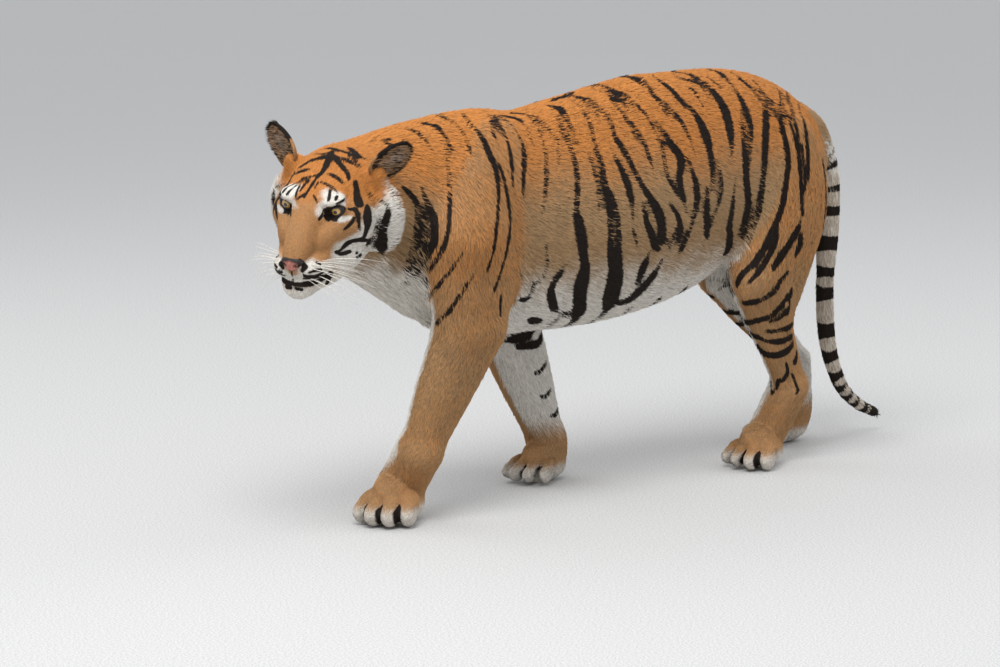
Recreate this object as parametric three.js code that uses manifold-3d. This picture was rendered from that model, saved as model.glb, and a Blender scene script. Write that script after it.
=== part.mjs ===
// A tiger in mid-stride, life size, as a still figure. Millimetres, +Z up, nose towards -Y, the
// animal's own left towards +X. Each piece is cut from one smooth body whose surface is the tips
// of the coat. The body is the smooth join of tapering sweeps (trunk, neck, limbs, tail) and
// oval muscles; thin cuts part it where a person would name the pieces.
import * as THREE from "three";
import Module from "manifold-3d";

// ---- sizes and pose --------------------------------------------------------------------------
const CUT = 0.7; // width of the cut between two pieces
const ORIGIN = [0.35, 390.93, 0]; // middle of the figure's footprint, which becomes the origin

// Sweeps: x, y, z, half width to the side, half height above and below the line.
const TRUNK = [
  [0, -165, 545, 76, 105, 120],
  [0, -100, 570, 128, 215, 185],
  [0, 30, 600, 166, 288, 226],
  [0, 150, 605, 188, 280, 232],
  [0, 290, 610, 204, 296, 240],
  [0, 430, 615, 211, 312, 238],
  [0, 580, 630, 206, 318, 224],
  [0, 730, 660, 188, 290, 195],
  [0, 870, 680, 171, 260, 175],
  [0, 1000, 690, 136, 205, 160],
  [0, 1075, 695, 92, 140, 120],
  [0, 1118, 700, 55, 75, 70],
];
const NECK = [
  [0, 60, 640, 150, 225, 200],
  [0, -60, 670, 158, 218, 222],
  [0, -150, 690, 150, 196, 222],
  [0, -240, 705, 136, 165, 190],
  [0, -330, 715, 122, 135, 160],
];
const TAIL = [
  [0, 1070, 785, 62, 50, 60],
  [0, 1122, 770, 45, 40, 44],
  [-2, 1170, 712, 33, 32, 32],
  [-2, 1192, 640, 30, 30, 30],
  [-2, 1194, 540, 29, 29, 29],
  [-2, 1186, 440, 28, 28, 28],
  [-2, 1184, 340, 27, 27, 27],
  [-2, 1200, 228, 24, 24, 24],
  [0, 1240, 134, 21, 21, 21],
  [0, 1302, 80, 18, 18, 18],
  [2, 1364, 50, 15, 15, 15],
];
// Legs: side is +1 left and -1 right; turn is how far the paw points outwards, in degrees.
const FORE = [
  { name: "left", side: 1, blade: [62, 62, 866], shoulder: [142, -120, 640], elbow: [126, -88, 430],
    carpus: [80, -196, 160], paw: [41, -238, 0], turn: 28, size: 1.2 },
  { name: "right", side: -1, blade: [-62, 82, 858], shoulder: [-142, -20, 600], elbow: [-127, 250, 385],
    carpus: [-112, 362, 92], paw: [-92, 318, 0], turn: -12, size: 1.08 },
];
const HIND = [
  { name: "left", side: 1, hip: [112, 950, 715], knee: [157, 780, 455], hock: [132, 918, 182],
    paw: [118, 826, 0], turn: 20, size: 1.12 },
  { name: "right", side: -1, hip: [-112, 965, 715], knee: [-152, 990, 425], hock: [-116, 1195, 175],
    paw: [-64, 1085, 0], turn: 0, size: 1.08 },
];
// Head: its own axes are forward, left and up, with the origin midway between the eyes.
const HEAD_AT = [90, -510, 727];
const HEAD_YAW = 23.5, HEAD_PITCH = 17, HEAD_ROLL = 5.5; // degrees: to its left, down, left side lower
const SKULL = [
  [-235, 0, -24, 90, 66, 84],
  [-170, 0, -10, 108, 86, 98],
  [-100, 0, 0, 98, 80, 98],
  [-42, 0, -8, 72, 60, 80],
  [8, 0, -30, 44, 50, 58],
  [50, 0, -50, 36, 38, 44],
  [76, 0, -68, 32, 28, 30],
  [90, 0, -78, 28, 21, 26],
];
const JAW = [
  [68, 14, -144, 24, 22, 24],
  [14, 42, -136, 28, 32, 32],
  [-50, 64, -110, 36, 42, 42],
  [-100, 74, -88, 36, 46, 46],
];
const EYE = [-18, 58, -1], EYE_RADIUS = 19.5, EYE_OPENING = [16, 15, 9.5];
const NOSE = [101, 0, -84], NOSE_HALF = [13, 21, 15];
const EAR_ROOT = [-124, 108, 48], EAR_TIP = [-158, 165, 112];
const EAR_FACE = { left: [0.7, 0.66, -0.28], right: [0.92, -0.3, -0.12] }; // the way each hollow looks
const EAR_HALF = [60, 42, 23], EAR_WALL = 8;

const ORANGE = "#b5692c", PALE = "#cfc0aa", DARK = "#241c18", AMBER = "#9a7a32", PINK = "#a5614f";

// ---- small vector helpers --------------------------------------------------------------------
const V = (p) => new THREE.Vector3(p[0], p[1], p[2]);
const at = (p, x, y, z) => [p[0] + x, p[1] + y, p[2] + z];
const lerp = (a, b, t) => [0, 1, 2].map((i) => a[i] + (b[i] - a[i]) * t);
const radians = THREE.MathUtils.degToRad;

// ---- the smooth body -------------------------------------------------------------------------
// Signed distance, near enough, to an ellipsoid with half sizes a, b, c at the offset x, y, z.
function ellipsoidDistance(x, y, z, a, b, c) {
  const k0 = Math.hypot(x / a, y / b, z / c) + 1e-9;
  const k1 = Math.hypot(x / (a * a), y / (b * b), z / (c * c)) + 1e-9;
  return (k0 * (k0 - 1)) / k1;
}

// A tube through stations [x, y, z, side, above, below], smoothed by Catmull-Rom.
function sweep(stations, join, { up = [0, 0, 1], steps = 4, cap = 0 } = {}) {
  const n = stations.length, rows = [];
  const row = (i) => (i < 0 ? stations[0].map((v, j) => 2 * v - stations[1][j])
    : i >= n ? stations[n - 1].map((v, j) => 2 * v - stations[n - 2][j]) : stations[i]);
  for (let i = 0; i < n - 1; i++)
    for (let s = 0; s < steps; s++) {
      const t = s / steps, [a, b, c, d] = [row(i - 1), row(i), row(i + 1), row(i + 2)];
      rows.push(b.map((v, j) => 0.5 * (2 * v + (c[j] - a[j]) * t
        + (2 * a[j] - 5 * v + 4 * c[j] - d[j]) * t * t + (3 * v - a[j] - 3 * c[j] + d[j]) * t ** 3)));
    }
  rows.push(stations[n - 1]);
  const spans = [];
  for (let i = 0; i < rows.length - 1; i++) {
    const a = V(rows[i]), b = V(rows[i + 1]), along = b.clone().sub(a), length = along.length();
    along.normalize();
    const side = V(up).cross(along).normalize(), over = along.clone().cross(side);
    spans.push({ a, along, length, side, over, r0: rows[i], r1: rows[i + 1] });
  }
  const box = new THREE.Box3();
  for (const r of rows) {
    const reach = Math.max(r[3], r[4], r[5]);
    box.expandByPoint(V(r).addScalar(reach)).expandByPoint(V(r).subScalar(reach));
  }
  const q = new THREE.Vector3();
  const distance = (p) => {
    let best = 1e6;
    for (const s of spans) {
      q.subVectors(p, s.a);
      const t = THREE.MathUtils.clamp(q.dot(s.along) / s.length, 0, 1);
      q.addScaledVector(s.along, -t * s.length);
      const v = q.dot(s.over), size = (j) => s.r0[j] + (s.r1[j] - s.r0[j]) * t;
      const w = size(3), h = v > 0 ? size(4) : size(5);
      best = Math.min(best, ellipsoidDistance(q.dot(s.side), v, q.dot(s.along), w, h, cap || Math.min(w, h)));
    }
    return best;
  };
  return { distance, join, box };
}

// An oval: half sizes [along, side, across] about the centre.
function oval(centre, half, join, along = [0, 1, 0], side = [1, 0, 0]) {
  const a = V(along).normalize(), s = V(side);
  s.addScaledVector(a, -s.dot(a)).normalize();
  const c = a.clone().cross(s), mid = V(centre), q = new THREE.Vector3(), reach = Math.max(...half);
  const distance = (p) => {
    q.subVectors(p, mid);
    return ellipsoidDistance(q.dot(a), q.dot(s), q.dot(c), ...half);
  };
  const box = new THREE.Box3(mid.clone().subScalar(reach), mid.clone().addScalar(reach));
  return { distance, join, box };
}

// A muscle: an oval from a to b, thick across the animal and wide along it.
function muscle(a, b, thick, wide, over, join) {
  const d = V(b).sub(V(a));
  return oval(lerp(a, b, 0.5), [d.length() / 2 + over, thick, wide], join, d.toArray());
}

// A paw: the pastern from the joint above, a pad, and four toes, each a knuckle and a tip.
function paw(leg, top, behind, join = 14) {
  const a = radians(leg.turn), s = leg.side, k = leg.size;
  const f = V([Math.sin(a) * s, -Math.cos(a), 0]), l = V([Math.cos(a) * s, Math.sin(a), 0]);
  const g = (F, L, U) => V(leg.paw).addScaledVector(f, F * k).addScaledVector(l, L * k).setZ(leg.paw[2] + U * k).toArray();
  const r = (...v) => v.map((x) => x * k);
  const low = Math.abs(top[1] - leg.paw[1]) > 120;
  const out = [
    sweep([[...top, ...r(46, 48, 48)], [...g(-behind, 0, 62), ...r(48, 46, 46)],
      [...g(-8, 0, 46), ...r(54, 42, 42)], [...g(20, 0, 36), ...r(56, 30, 32)]],
      join, { up: low ? [0, 0, 1] : [s, 0, 0.01] }),
    oval(g(-22, 0, 30), r(55, 50, 34), 16, f.toArray(), l.toArray()),
  ];
  for (const [L, F] of [[-44, 26], [-16, 46], [15, 48], [43, 30]]) {
    const ahead = f.clone().addScaledVector(l, L / 160);
    out.push(oval(g(F - 12, L * 0.92, 40), r(36, 19, 21), 8, at(ahead.toArray(), 0, 0, -0.35), l.toArray()));
    out.push(oval(g(F + 8, L, 24), r(32, 18.5, 24), 7, ahead.toArray(), l.toArray()));
  }
  return out;
}

// A foreleg: shoulder blade, upper arm with the muscle behind it, forearm and paw. Half sizes in
// a leg are fore-and-aft, outward, inward.
function foreleg(leg) {
  const s = leg.side, { blade: B, shoulder: S, elbow: E, carpus: C } = leg, up = [s, 0, 0.01];
  return [
    sweep([[B[0], B[1], B[2] - 30, 36, 30, 30], [...lerp(B, S, 0.3), 80, 56, 50],
      [...lerp(B, S, 0.65), 98, 72, 60], [...S, 100, 72, 66]], 45, { up }),
    muscle(at(lerp(B, S, 0.55), 0, 60, -10), at(E, 4 * s, 50, 10), 48, 74, 10, 45),
    sweep([[...S, 98, 72, 66], [...lerp(S, E, 0.5), 100, 68, 64], [...E, 94, 66, 60]], 40, { up }),
    sweep([[...E, 94, 66, 60], [...at(lerp(E, C, 0.25), 0, -2, 0), 86, 62, 56],
      [...at(lerp(E, C, 0.55), 0, -2, 0), 74, 54, 52], [...lerp(E, C, 0.86), 58, 48, 46], [...C, 55, 50, 48]],
      25, { up }),
    ...paw(leg, C, 38),
  ];
}

// A hind leg: thigh, the muscles before and behind it, knee, shank, tendon, heel and paw.
function hindleg(leg) {
  const s = leg.side, { hip: H, knee: K, hock: O } = leg, up = [s, 0, 0.01], heel = at(O, 0, 34, 16);
  return [
    sweep([[...at(H, 0, -30, 60), 75, 58, 60], [...at(lerp(H, K, 0.35), 0, 8, 0), 122, 74, 70],
      [...at(lerp(H, K, 0.72), 0, 2, 0), 94, 72, 66], [...K, 76, 62, 56]], 55, { up }),
    muscle(at(H, -10 * s, 62, 20), lerp(K, O, 0.5), 62, 68, 10, 45),
    muscle(at(H, 10 * s, -90, -20), at(K, 0, -22, 10), 50, 66, 5, 45),
    oval(at(K, 0, -28, 6), [34, 40, 44], 25),
    sweep([[...K, 76, 62, 56], [...lerp(K, O, 0.3), 68, 56, 52], [...lerp(K, O, 0.62), 52, 44, 42],
      [...lerp(K, O, 0.88), 44, 38, 38], [...O, 44, 40, 40]], 30, { up }),
    muscle(lerp(K, heel, 0.3), heel, 26, 32, 8, 22),
    oval(heel, [23, 25, 25], 18),
    ...paw(leg, O, 50),
  ];
}

// The head's axes as a matrix: forward, left, up.
const HEAD = (() => {
  const [y, p, r] = [HEAD_YAW, HEAD_PITCH, HEAD_ROLL].map(radians);
  const f = V([Math.sin(y) * Math.cos(p), -Math.cos(y) * Math.cos(p), -Math.sin(p)]);
  const level = V([Math.cos(y), Math.sin(y), 0]), over = level.clone().cross(f).negate();
  if (over.z < 0) over.negate();
  const l = level.clone().multiplyScalar(Math.cos(r)).addScaledVector(over, -Math.sin(r));
  const u = over.multiplyScalar(Math.cos(r)).addScaledVector(level, Math.sin(r));
  return new THREE.Matrix4().makeBasis(f, l, u).setPosition(V(HEAD_AT));
})();
const INTO_HEAD = HEAD.clone().invert();

// One piece of the head, given in its own axes and made the same on both sides.
function onHead(piece) {
  const q = new THREE.Vector3(), box = piece.box.clone(), reach = Math.max(box.max.y, -box.min.y);
  box.min.y = -reach;
  box.max.y = reach;
  const distance = (p) => {
    q.copy(p).applyMatrix4(INTO_HEAD);
    q.y = Math.abs(q.y);
    return piece.distance(q);
  };
  return { distance, join: piece.join, box: box.applyMatrix4(HEAD) };
}

const forward = [1, 0, 0], left = [0, 1, 0];
const head = [
  sweep(SKULL, 18),
  oval([-66, 76, -44], [60, 44, 58], 25, forward, left), // cheek
  oval([-14, 44, 22], [34, 32, 16], 14, [1, 0.3, -0.1], left), // brow
  oval([58, 31, -105], [46, 30, 29], 12, [1, -0.1, -0.08], left), // whisker pad
  oval([78, 0, -106], [29, 26, 24], 10, forward, left), // middle of the upper lip
  oval([0, 54, -54], [62, 26, 38], 20, [1, -0.4, -0.45], left), // below the eye
  oval([6, 50, -104], [54, 26, 36], 18, [1, -0.3, 0], left), // beside the mouth
  oval([66, 0, -132], [40, 40, 18], 10, forward, left), // lower lip
  oval([68, 0, -157], [38, 35, 33], 12, forward, left), // chin
  sweep(JAW, 20),
  oval([-100, 0, -110], [100, 70, 66], 30, forward, left), // throat
  oval([-132, 108, -60], [52, 62, 92], 25, [1, -0.35, 0], left), // ruff
  oval([-128, 104, 40], [34, 34, 38], 20, [1, -0.25, 0], left), // root of the ear
  oval([-17, 58, -1], [22, 24, 21], 8, forward, left), // lids
].map(onHead);

const flesh = [
  sweep(TRUNK, 30, { cap: 40 }), sweep(NECK, 60), sweep(TAIL, 30, { up: [1, 0, 0], steps: 5 }),
  ...FORE.flatMap(foreleg), ...HIND.flatMap(hindleg), ...head,
];

// Distance to the whole body: the smooth join of its parts.
function body(p) {
  let d = 1e4;
  for (const part of flesh) {
    if (part.box.distanceToPoint(p) > part.join + 60) continue;
    const e = part.distance(p), k = part.join, h = THREE.MathUtils.clamp(0.5 + (0.5 * (e - d)) / k, 0, 1);
    d = e + (d - e) * h - k * h * (1 - h);
  }
  return d;
}

// ---- from the smooth body to closed meshes ---------------------------------------------------
// Surface nets: a grid cell the surface passes through gets one vertex for each sheet of surface
// in it, moved on to the surface, and each grid edge with one end inside gets one square.
function surface(distance, box, cell) {
  const size = box.getSize(new THREE.Vector3()).divideScalar(cell).ceil().addScalar(1).toArray();
  const [nx, ny, nz] = size, p = new THREE.Vector3();
  const point = (i, j, k) => p.set(box.min.x + i * cell, box.min.y + j * cell, box.min.z + k * cell);
  const id = (i, j, k) => (i * ny + j) * nz + k;
  const stride = [ny * nz, nz, 1], value = new Float32Array(nx * ny * nz);
  for (let i = 0; i < nx; i++)
    for (let j = 0; j < ny; j++)
      for (let k = 0; k < nz; k++) {
        const rim = !i || !j || !k || i === nx - 1 || j === ny - 1 || k === nz - 1;
        value[id(i, j, k)] = rim ? Math.max(cell / 2, distance(point(i, j, k))) : distance(point(i, j, k));
      }
  const corner = (c) => [c & 1, (c >> 1) & 1, c >> 2], vertexOf = new Map(), position = [], index = [];
  const step = new THREE.Vector3(), near = new THREE.Vector3(), e = 0.5;
  // The vertices of a cell: an edge of the cell is axis * 8 + its lower corner.
  function vertices(i, j, k) {
    const key = id(i, j, k);
    if (vertexOf.has(key)) return vertexOf.get(key);
    const v = Array.from({ length: 8 }, (_, c) => value[id(i + (c & 1), j + ((c >> 1) & 1), k + (c >> 2))]);
    const sheet = new Map();
    for (let axis = 0; axis < 3; axis++)
      for (let c = 0; c < 8; c++)
        if (!(c & (1 << axis)) && v[c] < 0 !== v[c | (1 << axis)] < 0) sheet.set(axis * 8 + c, axis * 8 + c);
    const top = (x) => (sheet.get(x) === x ? x : top(sheet.get(x)));
    for (let face = 0; face < 6; face++) {
      const axis = face >> 1, base = (face & 1) << axis, [u, w] = [(axis + 1) % 3, (axis + 2) % 3];
      const round = [base, base | (1 << u), base | (1 << u) | (1 << w), base | (1 << w)];
      const edges = [u * 8 + base, w * 8 + round[1], u * 8 + round[3], w * 8 + base];
      const cut = edges.filter((x) => sheet.has(x));
      if (cut.length === 2) sheet.set(top(cut[0]), top(cut[1]));
      if (cut.length === 4)
        for (let m = 0; m < 4; m++) if (v[round[m]] < 0) sheet.set(top(edges[m]), top(edges[(m + 3) % 4]));
    }
    const groups = new Map();
    for (const x of sheet.keys()) groups.set(top(x), [...(groups.get(top(x)) || []), x]);
    const made = new Map();
    for (const edges of groups.values()) {
      const sum = new THREE.Vector3();
      for (const x of edges) {
        const c = x & 7, axis = x >> 3, [a, b] = [v[c], v[c | (1 << axis)]], o = corner(c);
        o[axis] += a / (a - b);
        sum.add(point(i + o[0], j + o[1], k + o[2]));
      }
      sum.divideScalar(edges.length);
      for (let pass = 0; pass < 2; pass++) {
        const d = distance(sum);
        if (Math.abs(d) > cell) break;
        step.set(distance(near.copy(sum).setX(sum.x + e)) - d, distance(near.copy(sum).setY(sum.y + e)) - d,
          distance(near.copy(sum).setZ(sum.z + e)) - d).divideScalar(e);
        sum.addScaledVector(step, -d / Math.max(step.lengthSq(), 0.3));
      }
      for (const x of edges) made.set(x, position.length / 3);
      position.push(...sum.toArray());
    }
    vertexOf.set(key, made);
    return made;
  }
  for (let i = 0; i < nx - 1; i++)
    for (let j = 0; j < ny - 1; j++)
      for (let k = 0; k < nz - 1; k++) {
        const here = value[id(i, j, k)] < 0;
        for (let axis = 0; axis < 3; axis++) {
          if (here === value[id(i, j, k) + stride[axis]] < 0) continue;
          const [u, w] = [(axis + 1) % 3, (axis + 2) % 3];
          // The four cells round this edge, and where the edge lies in each.
          const four = [[1, 1], [0, 1], [0, 0], [1, 0]].map(([a, b]) => {
            const o = [i, j, k];
            o[u] -= a;
            o[w] -= b;
            return vertices(...o).get(axis * 8 + ((a << u) | (b << w)));
          });
          const [a, b, c, d] = here ? four : four.reverse();
          index.push(a, b, c, a, c, d);
        }
      }
  return new THREE.BufferGeometry()
    .setAttribute("position", new THREE.Float32BufferAttribute(position, 3)).setIndex(index);
}

// ---- solids to cut with ----------------------------------------------------------------------
const wasm = await Module();
wasm.setup();
const { Manifold, Mesh } = wasm;
const solid = (geometry) => new Manifold(new Mesh({
  numProp: 3,
  vertProperties: new Float32Array(geometry.attributes.position.array),
  triVerts: new Uint32Array(geometry.index.array),
}));

// A block between two levels: each level is [z, x0, x1, y0, y1]; negative side mirrors x.
function block(levels, side = 1) {
  return Manifold.hull(levels.flatMap(([z, x0, x1, y0, y1]) =>
    [[x0, y0], [x0, y1], [x1, y0], [x1, y1]].map(([x, y]) => [x * side, y, z])));
}
// Everything on the side of a plane its normal points to, and on the other side.
const ahead = (point, normal) => {
  const n = V(normal).normalize();
  return Manifold.cube([6000, 6000, 6000], true).trimByPlane(n.toArray(), V(point).dot(n));
};
const behind = (point, normal) => ahead(point, V(normal).negate().toArray());
// Six copies of a shape, each moved along an axis. What they share is the shape drawn in by the
// distance; all of them together are the shape grown by it (a little less on a slope).
const moved = (shape, by) => [[1, 0, 0], [0, 1, 0], [0, 0, 1]].flatMap((axis) =>
  [by, -by].map((way) => shape.translate(axis.map((v) => v * way))));
const drawnIn = (shape) => moved(shape, CUT / 2).reduce((a, b) => a.intersect(b));

// Where each leg parts from the trunk.
const foreRegion = {
  left: Manifold.union(block([[745, 118, 420, -320, 90], [362, 60, 420, -320, 110]]),
    block([[362, -140, 420, -460, 200], [-40, -140, 420, -460, 200]])),
  right: Manifold.union(block([[745, 118, 420, -190, 170], [362, 60, 420, 60, 430]], -1),
    block([[362, 2, 420, 60, 560], [-40, 2, 420, 60, 560]], -1)),
};
const hindHull = (side, front) => Manifold.hull([[392, front - 45], [500, 880], [560, 1290]].flatMap(([z, y]) =>
  [[9, y, z], [420, y, z], [9, y, -40], [420, y, -40]].map(([x, b, c]) => [x * side, b, c])));
const hindRegion = {
  left: Manifold.union(block([[810, 116, 420, 735, 1150], [392, 58, 420, 655, 1180]]), hindHull(1, 655)),
  right: Manifold.union(block([[810, 116, 420, 735, 1150], [392, 58, 420, 700, 1180]], -1), hindHull(-1, 700)),
};
const NECK_CUT = [[0, -80, 900], [0, -0.93, 0.368]];
const FRONT = V([0, 0, 0]).setFromMatrixColumn(HEAD, 0).toArray();
const HEAD_CUT = [V([-196, 0, 0]).applyMatrix4(HEAD).toArray(), FRONT];
const MUZZLE_CUT = [V([26, 0, 0]).applyMatrix4(HEAD).toArray(), FRONT];
const tailRegion = Manifold.cube([140, 400, 900], false).translate([-70, 1146, -40])
  .intersect(ahead([0, 1146, 742], [0, 0.6, -0.8]));

// The pieces of flesh: name, region, grid size and colour.
const within = (x0, x1, y0, y1, z0, z1) => Manifold.cube([x1 - x0, y1 - y0, z1 - z0], false).translate([x0, y0, z0]);
const pieces = [];
const legs = Manifold.union([...Object.values(foreRegion), ...Object.values(hindRegion)]);
const level = (region, low, high) => region.intersect(within(-1000, 1000, -2000, 2000, low, high));
const headRegion = ahead(...HEAD_CUT).intersect(ahead(...NECK_CUT))
  .intersect(within(-250, 350, -700, -240, 500, 1000)).subtract(legs);
pieces.push(["trunk", behind(...NECK_CUT).intersect(within(-300, 300, -320, 1250, 340, 1000))
  .subtract(legs).subtract(tailRegion), 76, ORANGE]);
pieces.push(["neck", ahead(...NECK_CUT).intersect(behind(...HEAD_CUT))
  .intersect(within(-300, 300, -420, 20, 400, 980)).subtract(legs), 48, ORANGE]);
pieces.push(["head", headRegion.intersect(behind(...MUZZLE_CUT)), 34, ORANGE]);
pieces.push(["muzzle", headRegion.intersect(ahead(...MUZZLE_CUT)), 23, PALE]);
for (const { name, side } of FORE) {
  const r = foreRegion[name], wrist = side > 0 ? 138 : 118, elbow = side > 0 ? 400 : 352;
  pieces.push([name + "_shoulder", level(r, elbow, 800), 58, ORANGE]);
  pieces.push([name + "_forearm", level(r, wrist, elbow), 42, ORANGE]);
  pieces.push([name + "_forepaw", level(r, -60, wrist), 28, PALE]);
}
for (const { name } of HIND) {
  const r = hindRegion[name];
  pieces.push([name + "_thigh", level(r, 420, 900), 58, ORANGE]);
  pieces.push([name + "_shank", level(r, 172, 420), 40, ORANGE]);
  pieces.push([name + "_hindpaw", level(r, -60, 172), 28, PALE]);
}
pieces.push(["tail_root", level(tailRegion, 560, 960), 28, ORANGE]);

const group = new THREE.Group();
function add(name, shape, colour) {
  const bodies = shape.decompose().sort((a, b) => b.volume() - a.volume());
  const { vertProperties, triVerts, numProp } = bodies[0].getMesh();
  const position = new Float32Array((vertProperties.length / numProp) * 3);
  for (let i = 0; i < position.length / 3; i++)
    for (let j = 0; j < 3; j++) position[3 * i + j] = vertProperties[i * numProp + j] - ORIGIN[j];
  const geometry = new THREE.BufferGeometry().setAttribute("position", new THREE.BufferAttribute(position, 3));
  geometry.setIndex(new THREE.BufferAttribute(new Uint32Array(triVerts), 1)).computeVertexNormals();
  const mesh = new THREE.Mesh(geometry, new THREE.MeshStandardMaterial({ color: colour, roughness: 0.85 }));
  mesh.name = name;
  group.add(mesh);
}

// A round or oval ball on the head, in its axes.
function ball(centre, half, across = 12, down = 8) {
  const g = new THREE.SphereGeometry(1, across, down).scale(...half).translate(...centre).applyMatrix4(HEAD);
  return solid(welded(g));
}
// The same surface with the vertices of its seam and poles joined.
function welded(geometry) {
  const from = geometry.attributes.position, key = new Map(), position = [], index = [];
  const same = Array.from({ length: from.count }, (_, i) => {
    const k = [from.getX(i), from.getY(i), from.getZ(i)].map((v) => Math.round(v * 1000)).join();
    if (!key.has(k)) {
      key.set(k, position.length / 3);
      position.push(from.getX(i), from.getY(i), from.getZ(i));
    }
    return key.get(k);
  });
  for (let i = 0; i < geometry.index.count; i += 3) {
    const [a, b, c] = [0, 1, 2].map((j) => same[geometry.index.getX(i + j)]);
    if (a !== b && b !== c && c !== a) index.push(a, b, c);
  }
  return new THREE.BufferGeometry()
    .setAttribute("position", new THREE.Float32BufferAttribute(position, 3)).setIndex(index);
}

// An ear: a cup whose back is half an oval and whose hollow is a smaller one, standing on its
// root and looking forwards and outwards.
function ear(side) {
  const root = V(EAR_ROOT).setY(EAR_ROOT[1] * side), along = V(EAR_TIP).setY(EAR_TIP[1] * side).sub(root).normalize();
  const face = V(side > 0 ? EAR_FACE.left : EAR_FACE.right);
  face.addScaledVector(along, -face.dot(along)).normalize();
  const across = face.clone().cross(along), middle = root.clone().addScaledVector(along, 34);
  const g = new THREE.SphereGeometry(1, 12, 8), at0 = g.attributes.position, [A, B, C] = EAR_HALF;
  for (let i = 0; i < at0.count; i++) {
    const v = V([at0.getX(i), at0.getY(i), at0.getZ(i)]), ring = Math.hypot(v.x, v.y);
    const hollow = v.z > 0, shrink = hollow ? 1 - EAR_WALL / B : 1;
    const depth = hollow ? -(C - EAR_WALL) * Math.sqrt(Math.max(0, 1 - ring * ring)) : v.z * C;
    const p = middle.clone().addScaledVector(along, v.x * A * shrink).addScaledVector(across, v.y * B * shrink)
      .addScaledVector(face, depth);
    at0.setXYZ(i, p.x, p.y, p.z);
  }
  return solid(welded(g.applyMatrix4(HEAD)));
}

// The parts of the head that are not flesh, and the room the head leaves for them.
const mirror = (p, side) => [p[0], p[1] * side, p[2]];
const set = [];
let room = ball(NOSE, NOSE_HALF.map((v) => v + CUT));
set.push(["nose", ball(NOSE, NOSE_HALF), PINK]);
for (const [name, side] of [["left", 1], ["right", -1]]) {
  const eye = mirror(EYE, side), r = EYE_RADIUS;
  set.push([name + "_eye", ball(eye, [r, r, r]), AMBER]);
  room = room.add(ball(eye, [r + CUT, r + CUT, r + CUT]));
  room = room.add(ball(at(eye, EYE_RADIUS + 4, 0, 0), EYE_OPENING, 12, 8));
}

const body3 = new THREE.Box3();
for (const part of flesh) body3.union(part.box);
let headSolid;
for (const [name, whole, cell, colour] of pieces) {
  const region = drawnIn(whole), b = region.boundingBox(), box = new THREE.Box3(V(b.min), V(b.max)).intersect(body3).expandByScalar(2.2 * cell);
  box.min.z = Math.max(box.min.z, -cell * 2.2);
  let made = solid(surface(body, box, cell)).intersect(region).intersect(ahead([0, 0, 0], [0, 0, 1]));
  if (name === "head" || name === "muzzle") made = made.subtract(room);
  if (name === "head") headSolid = made;
  add(name, made, colour);
}
for (const [name, shape, colour] of set) add(name, shape, colour);
const headRoom = Manifold.union(moved(headSolid, CUT));
for (const [name, side] of [["left_ear", 1], ["right_ear", -1]]) add(name, ear(side).subtract(headRoom), DARK);

// The tail below its root, in three lengths of round section.
function tube(from, to, sides = 9, rings = 8) {
  const rows = TAIL.map((r) => V(r)), curve = new THREE.CatmullRomCurve3(rows, false, "centripetal");
  const radius = (t) => {
    const x = t * (TAIL.length - 1), i = Math.min(TAIL.length - 2, Math.floor(x));
    return TAIL[i][4] + (TAIL[i + 1][4] - TAIL[i][4]) * (x - i);
  };
  const position = [], index = [], end = to >= 1;
  for (let i = 0; i <= rings; i++) {
    const t = from + ((to - from) * i) / rings, c = curve.getPoint(t), along = curve.getTangent(t);
    const side = V([1, 0, 0]).addScaledVector(along, -along.x).normalize(), over = along.clone().cross(side);
    for (let j = 0; j < sides; j++) {
      const a = (2 * Math.PI * j) / sides, r = radius(t);
      const p = c.clone().addScaledVector(side, r * Math.cos(a)).addScaledVector(over, r * Math.sin(a));
      position.push(p.x, p.y, p.z);
    }
  }
  const first = curve.getPoint(from), last = curve.getPoint(to).addScaledVector(curve.getTangent(to), end ? 13 : 0);
  position.push(...first.toArray(), ...last.toArray());
  const n = (rings + 1) * sides;
  for (let j = 0; j < sides; j++) {
    const k = (j + 1) % sides;
    index.push(n, k, j, n + 1, rings * sides + j, rings * sides + k);
    for (let i = 0; i < rings; i++) {
      const a = i * sides + j, b = i * sides + k, c = a + sides, d = b + sides;
      index.push(a, b, d, a, d, c);
    }
  }
  return solid(new THREE.BufferGeometry()
    .setAttribute("position", new THREE.Float32BufferAttribute(position, 3)).setIndex(index));
}
const below = ahead([0, 0, 560], [0, 0, -1]);
add("tail_upper", tube(0.33, 0.55).intersect(below), ORANGE);
add("tail_middle", tube(0.5505, 0.775), PALE);
add("tail_tip", tube(0.7755, 1), DARK);

export default group;
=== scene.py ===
"""A tiger standing in mid-stride, life-size, as a still figure.

All lengths in the tables are millimetres in the animal's own frame: it faces -Y, its left is +X
and the floor is Z = 0. The last step before a mesh is made turns them into metres about ORIGIN.

The flesh is one smooth signed-distance body. It is the union, blended over a few centimetres, of
tubes through stations and of oval muscles. The skin is that body drawn in by the depth of the
coat, and the coat is a few hundred thousand thin closed tufts that lie along the body.
"""

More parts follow.
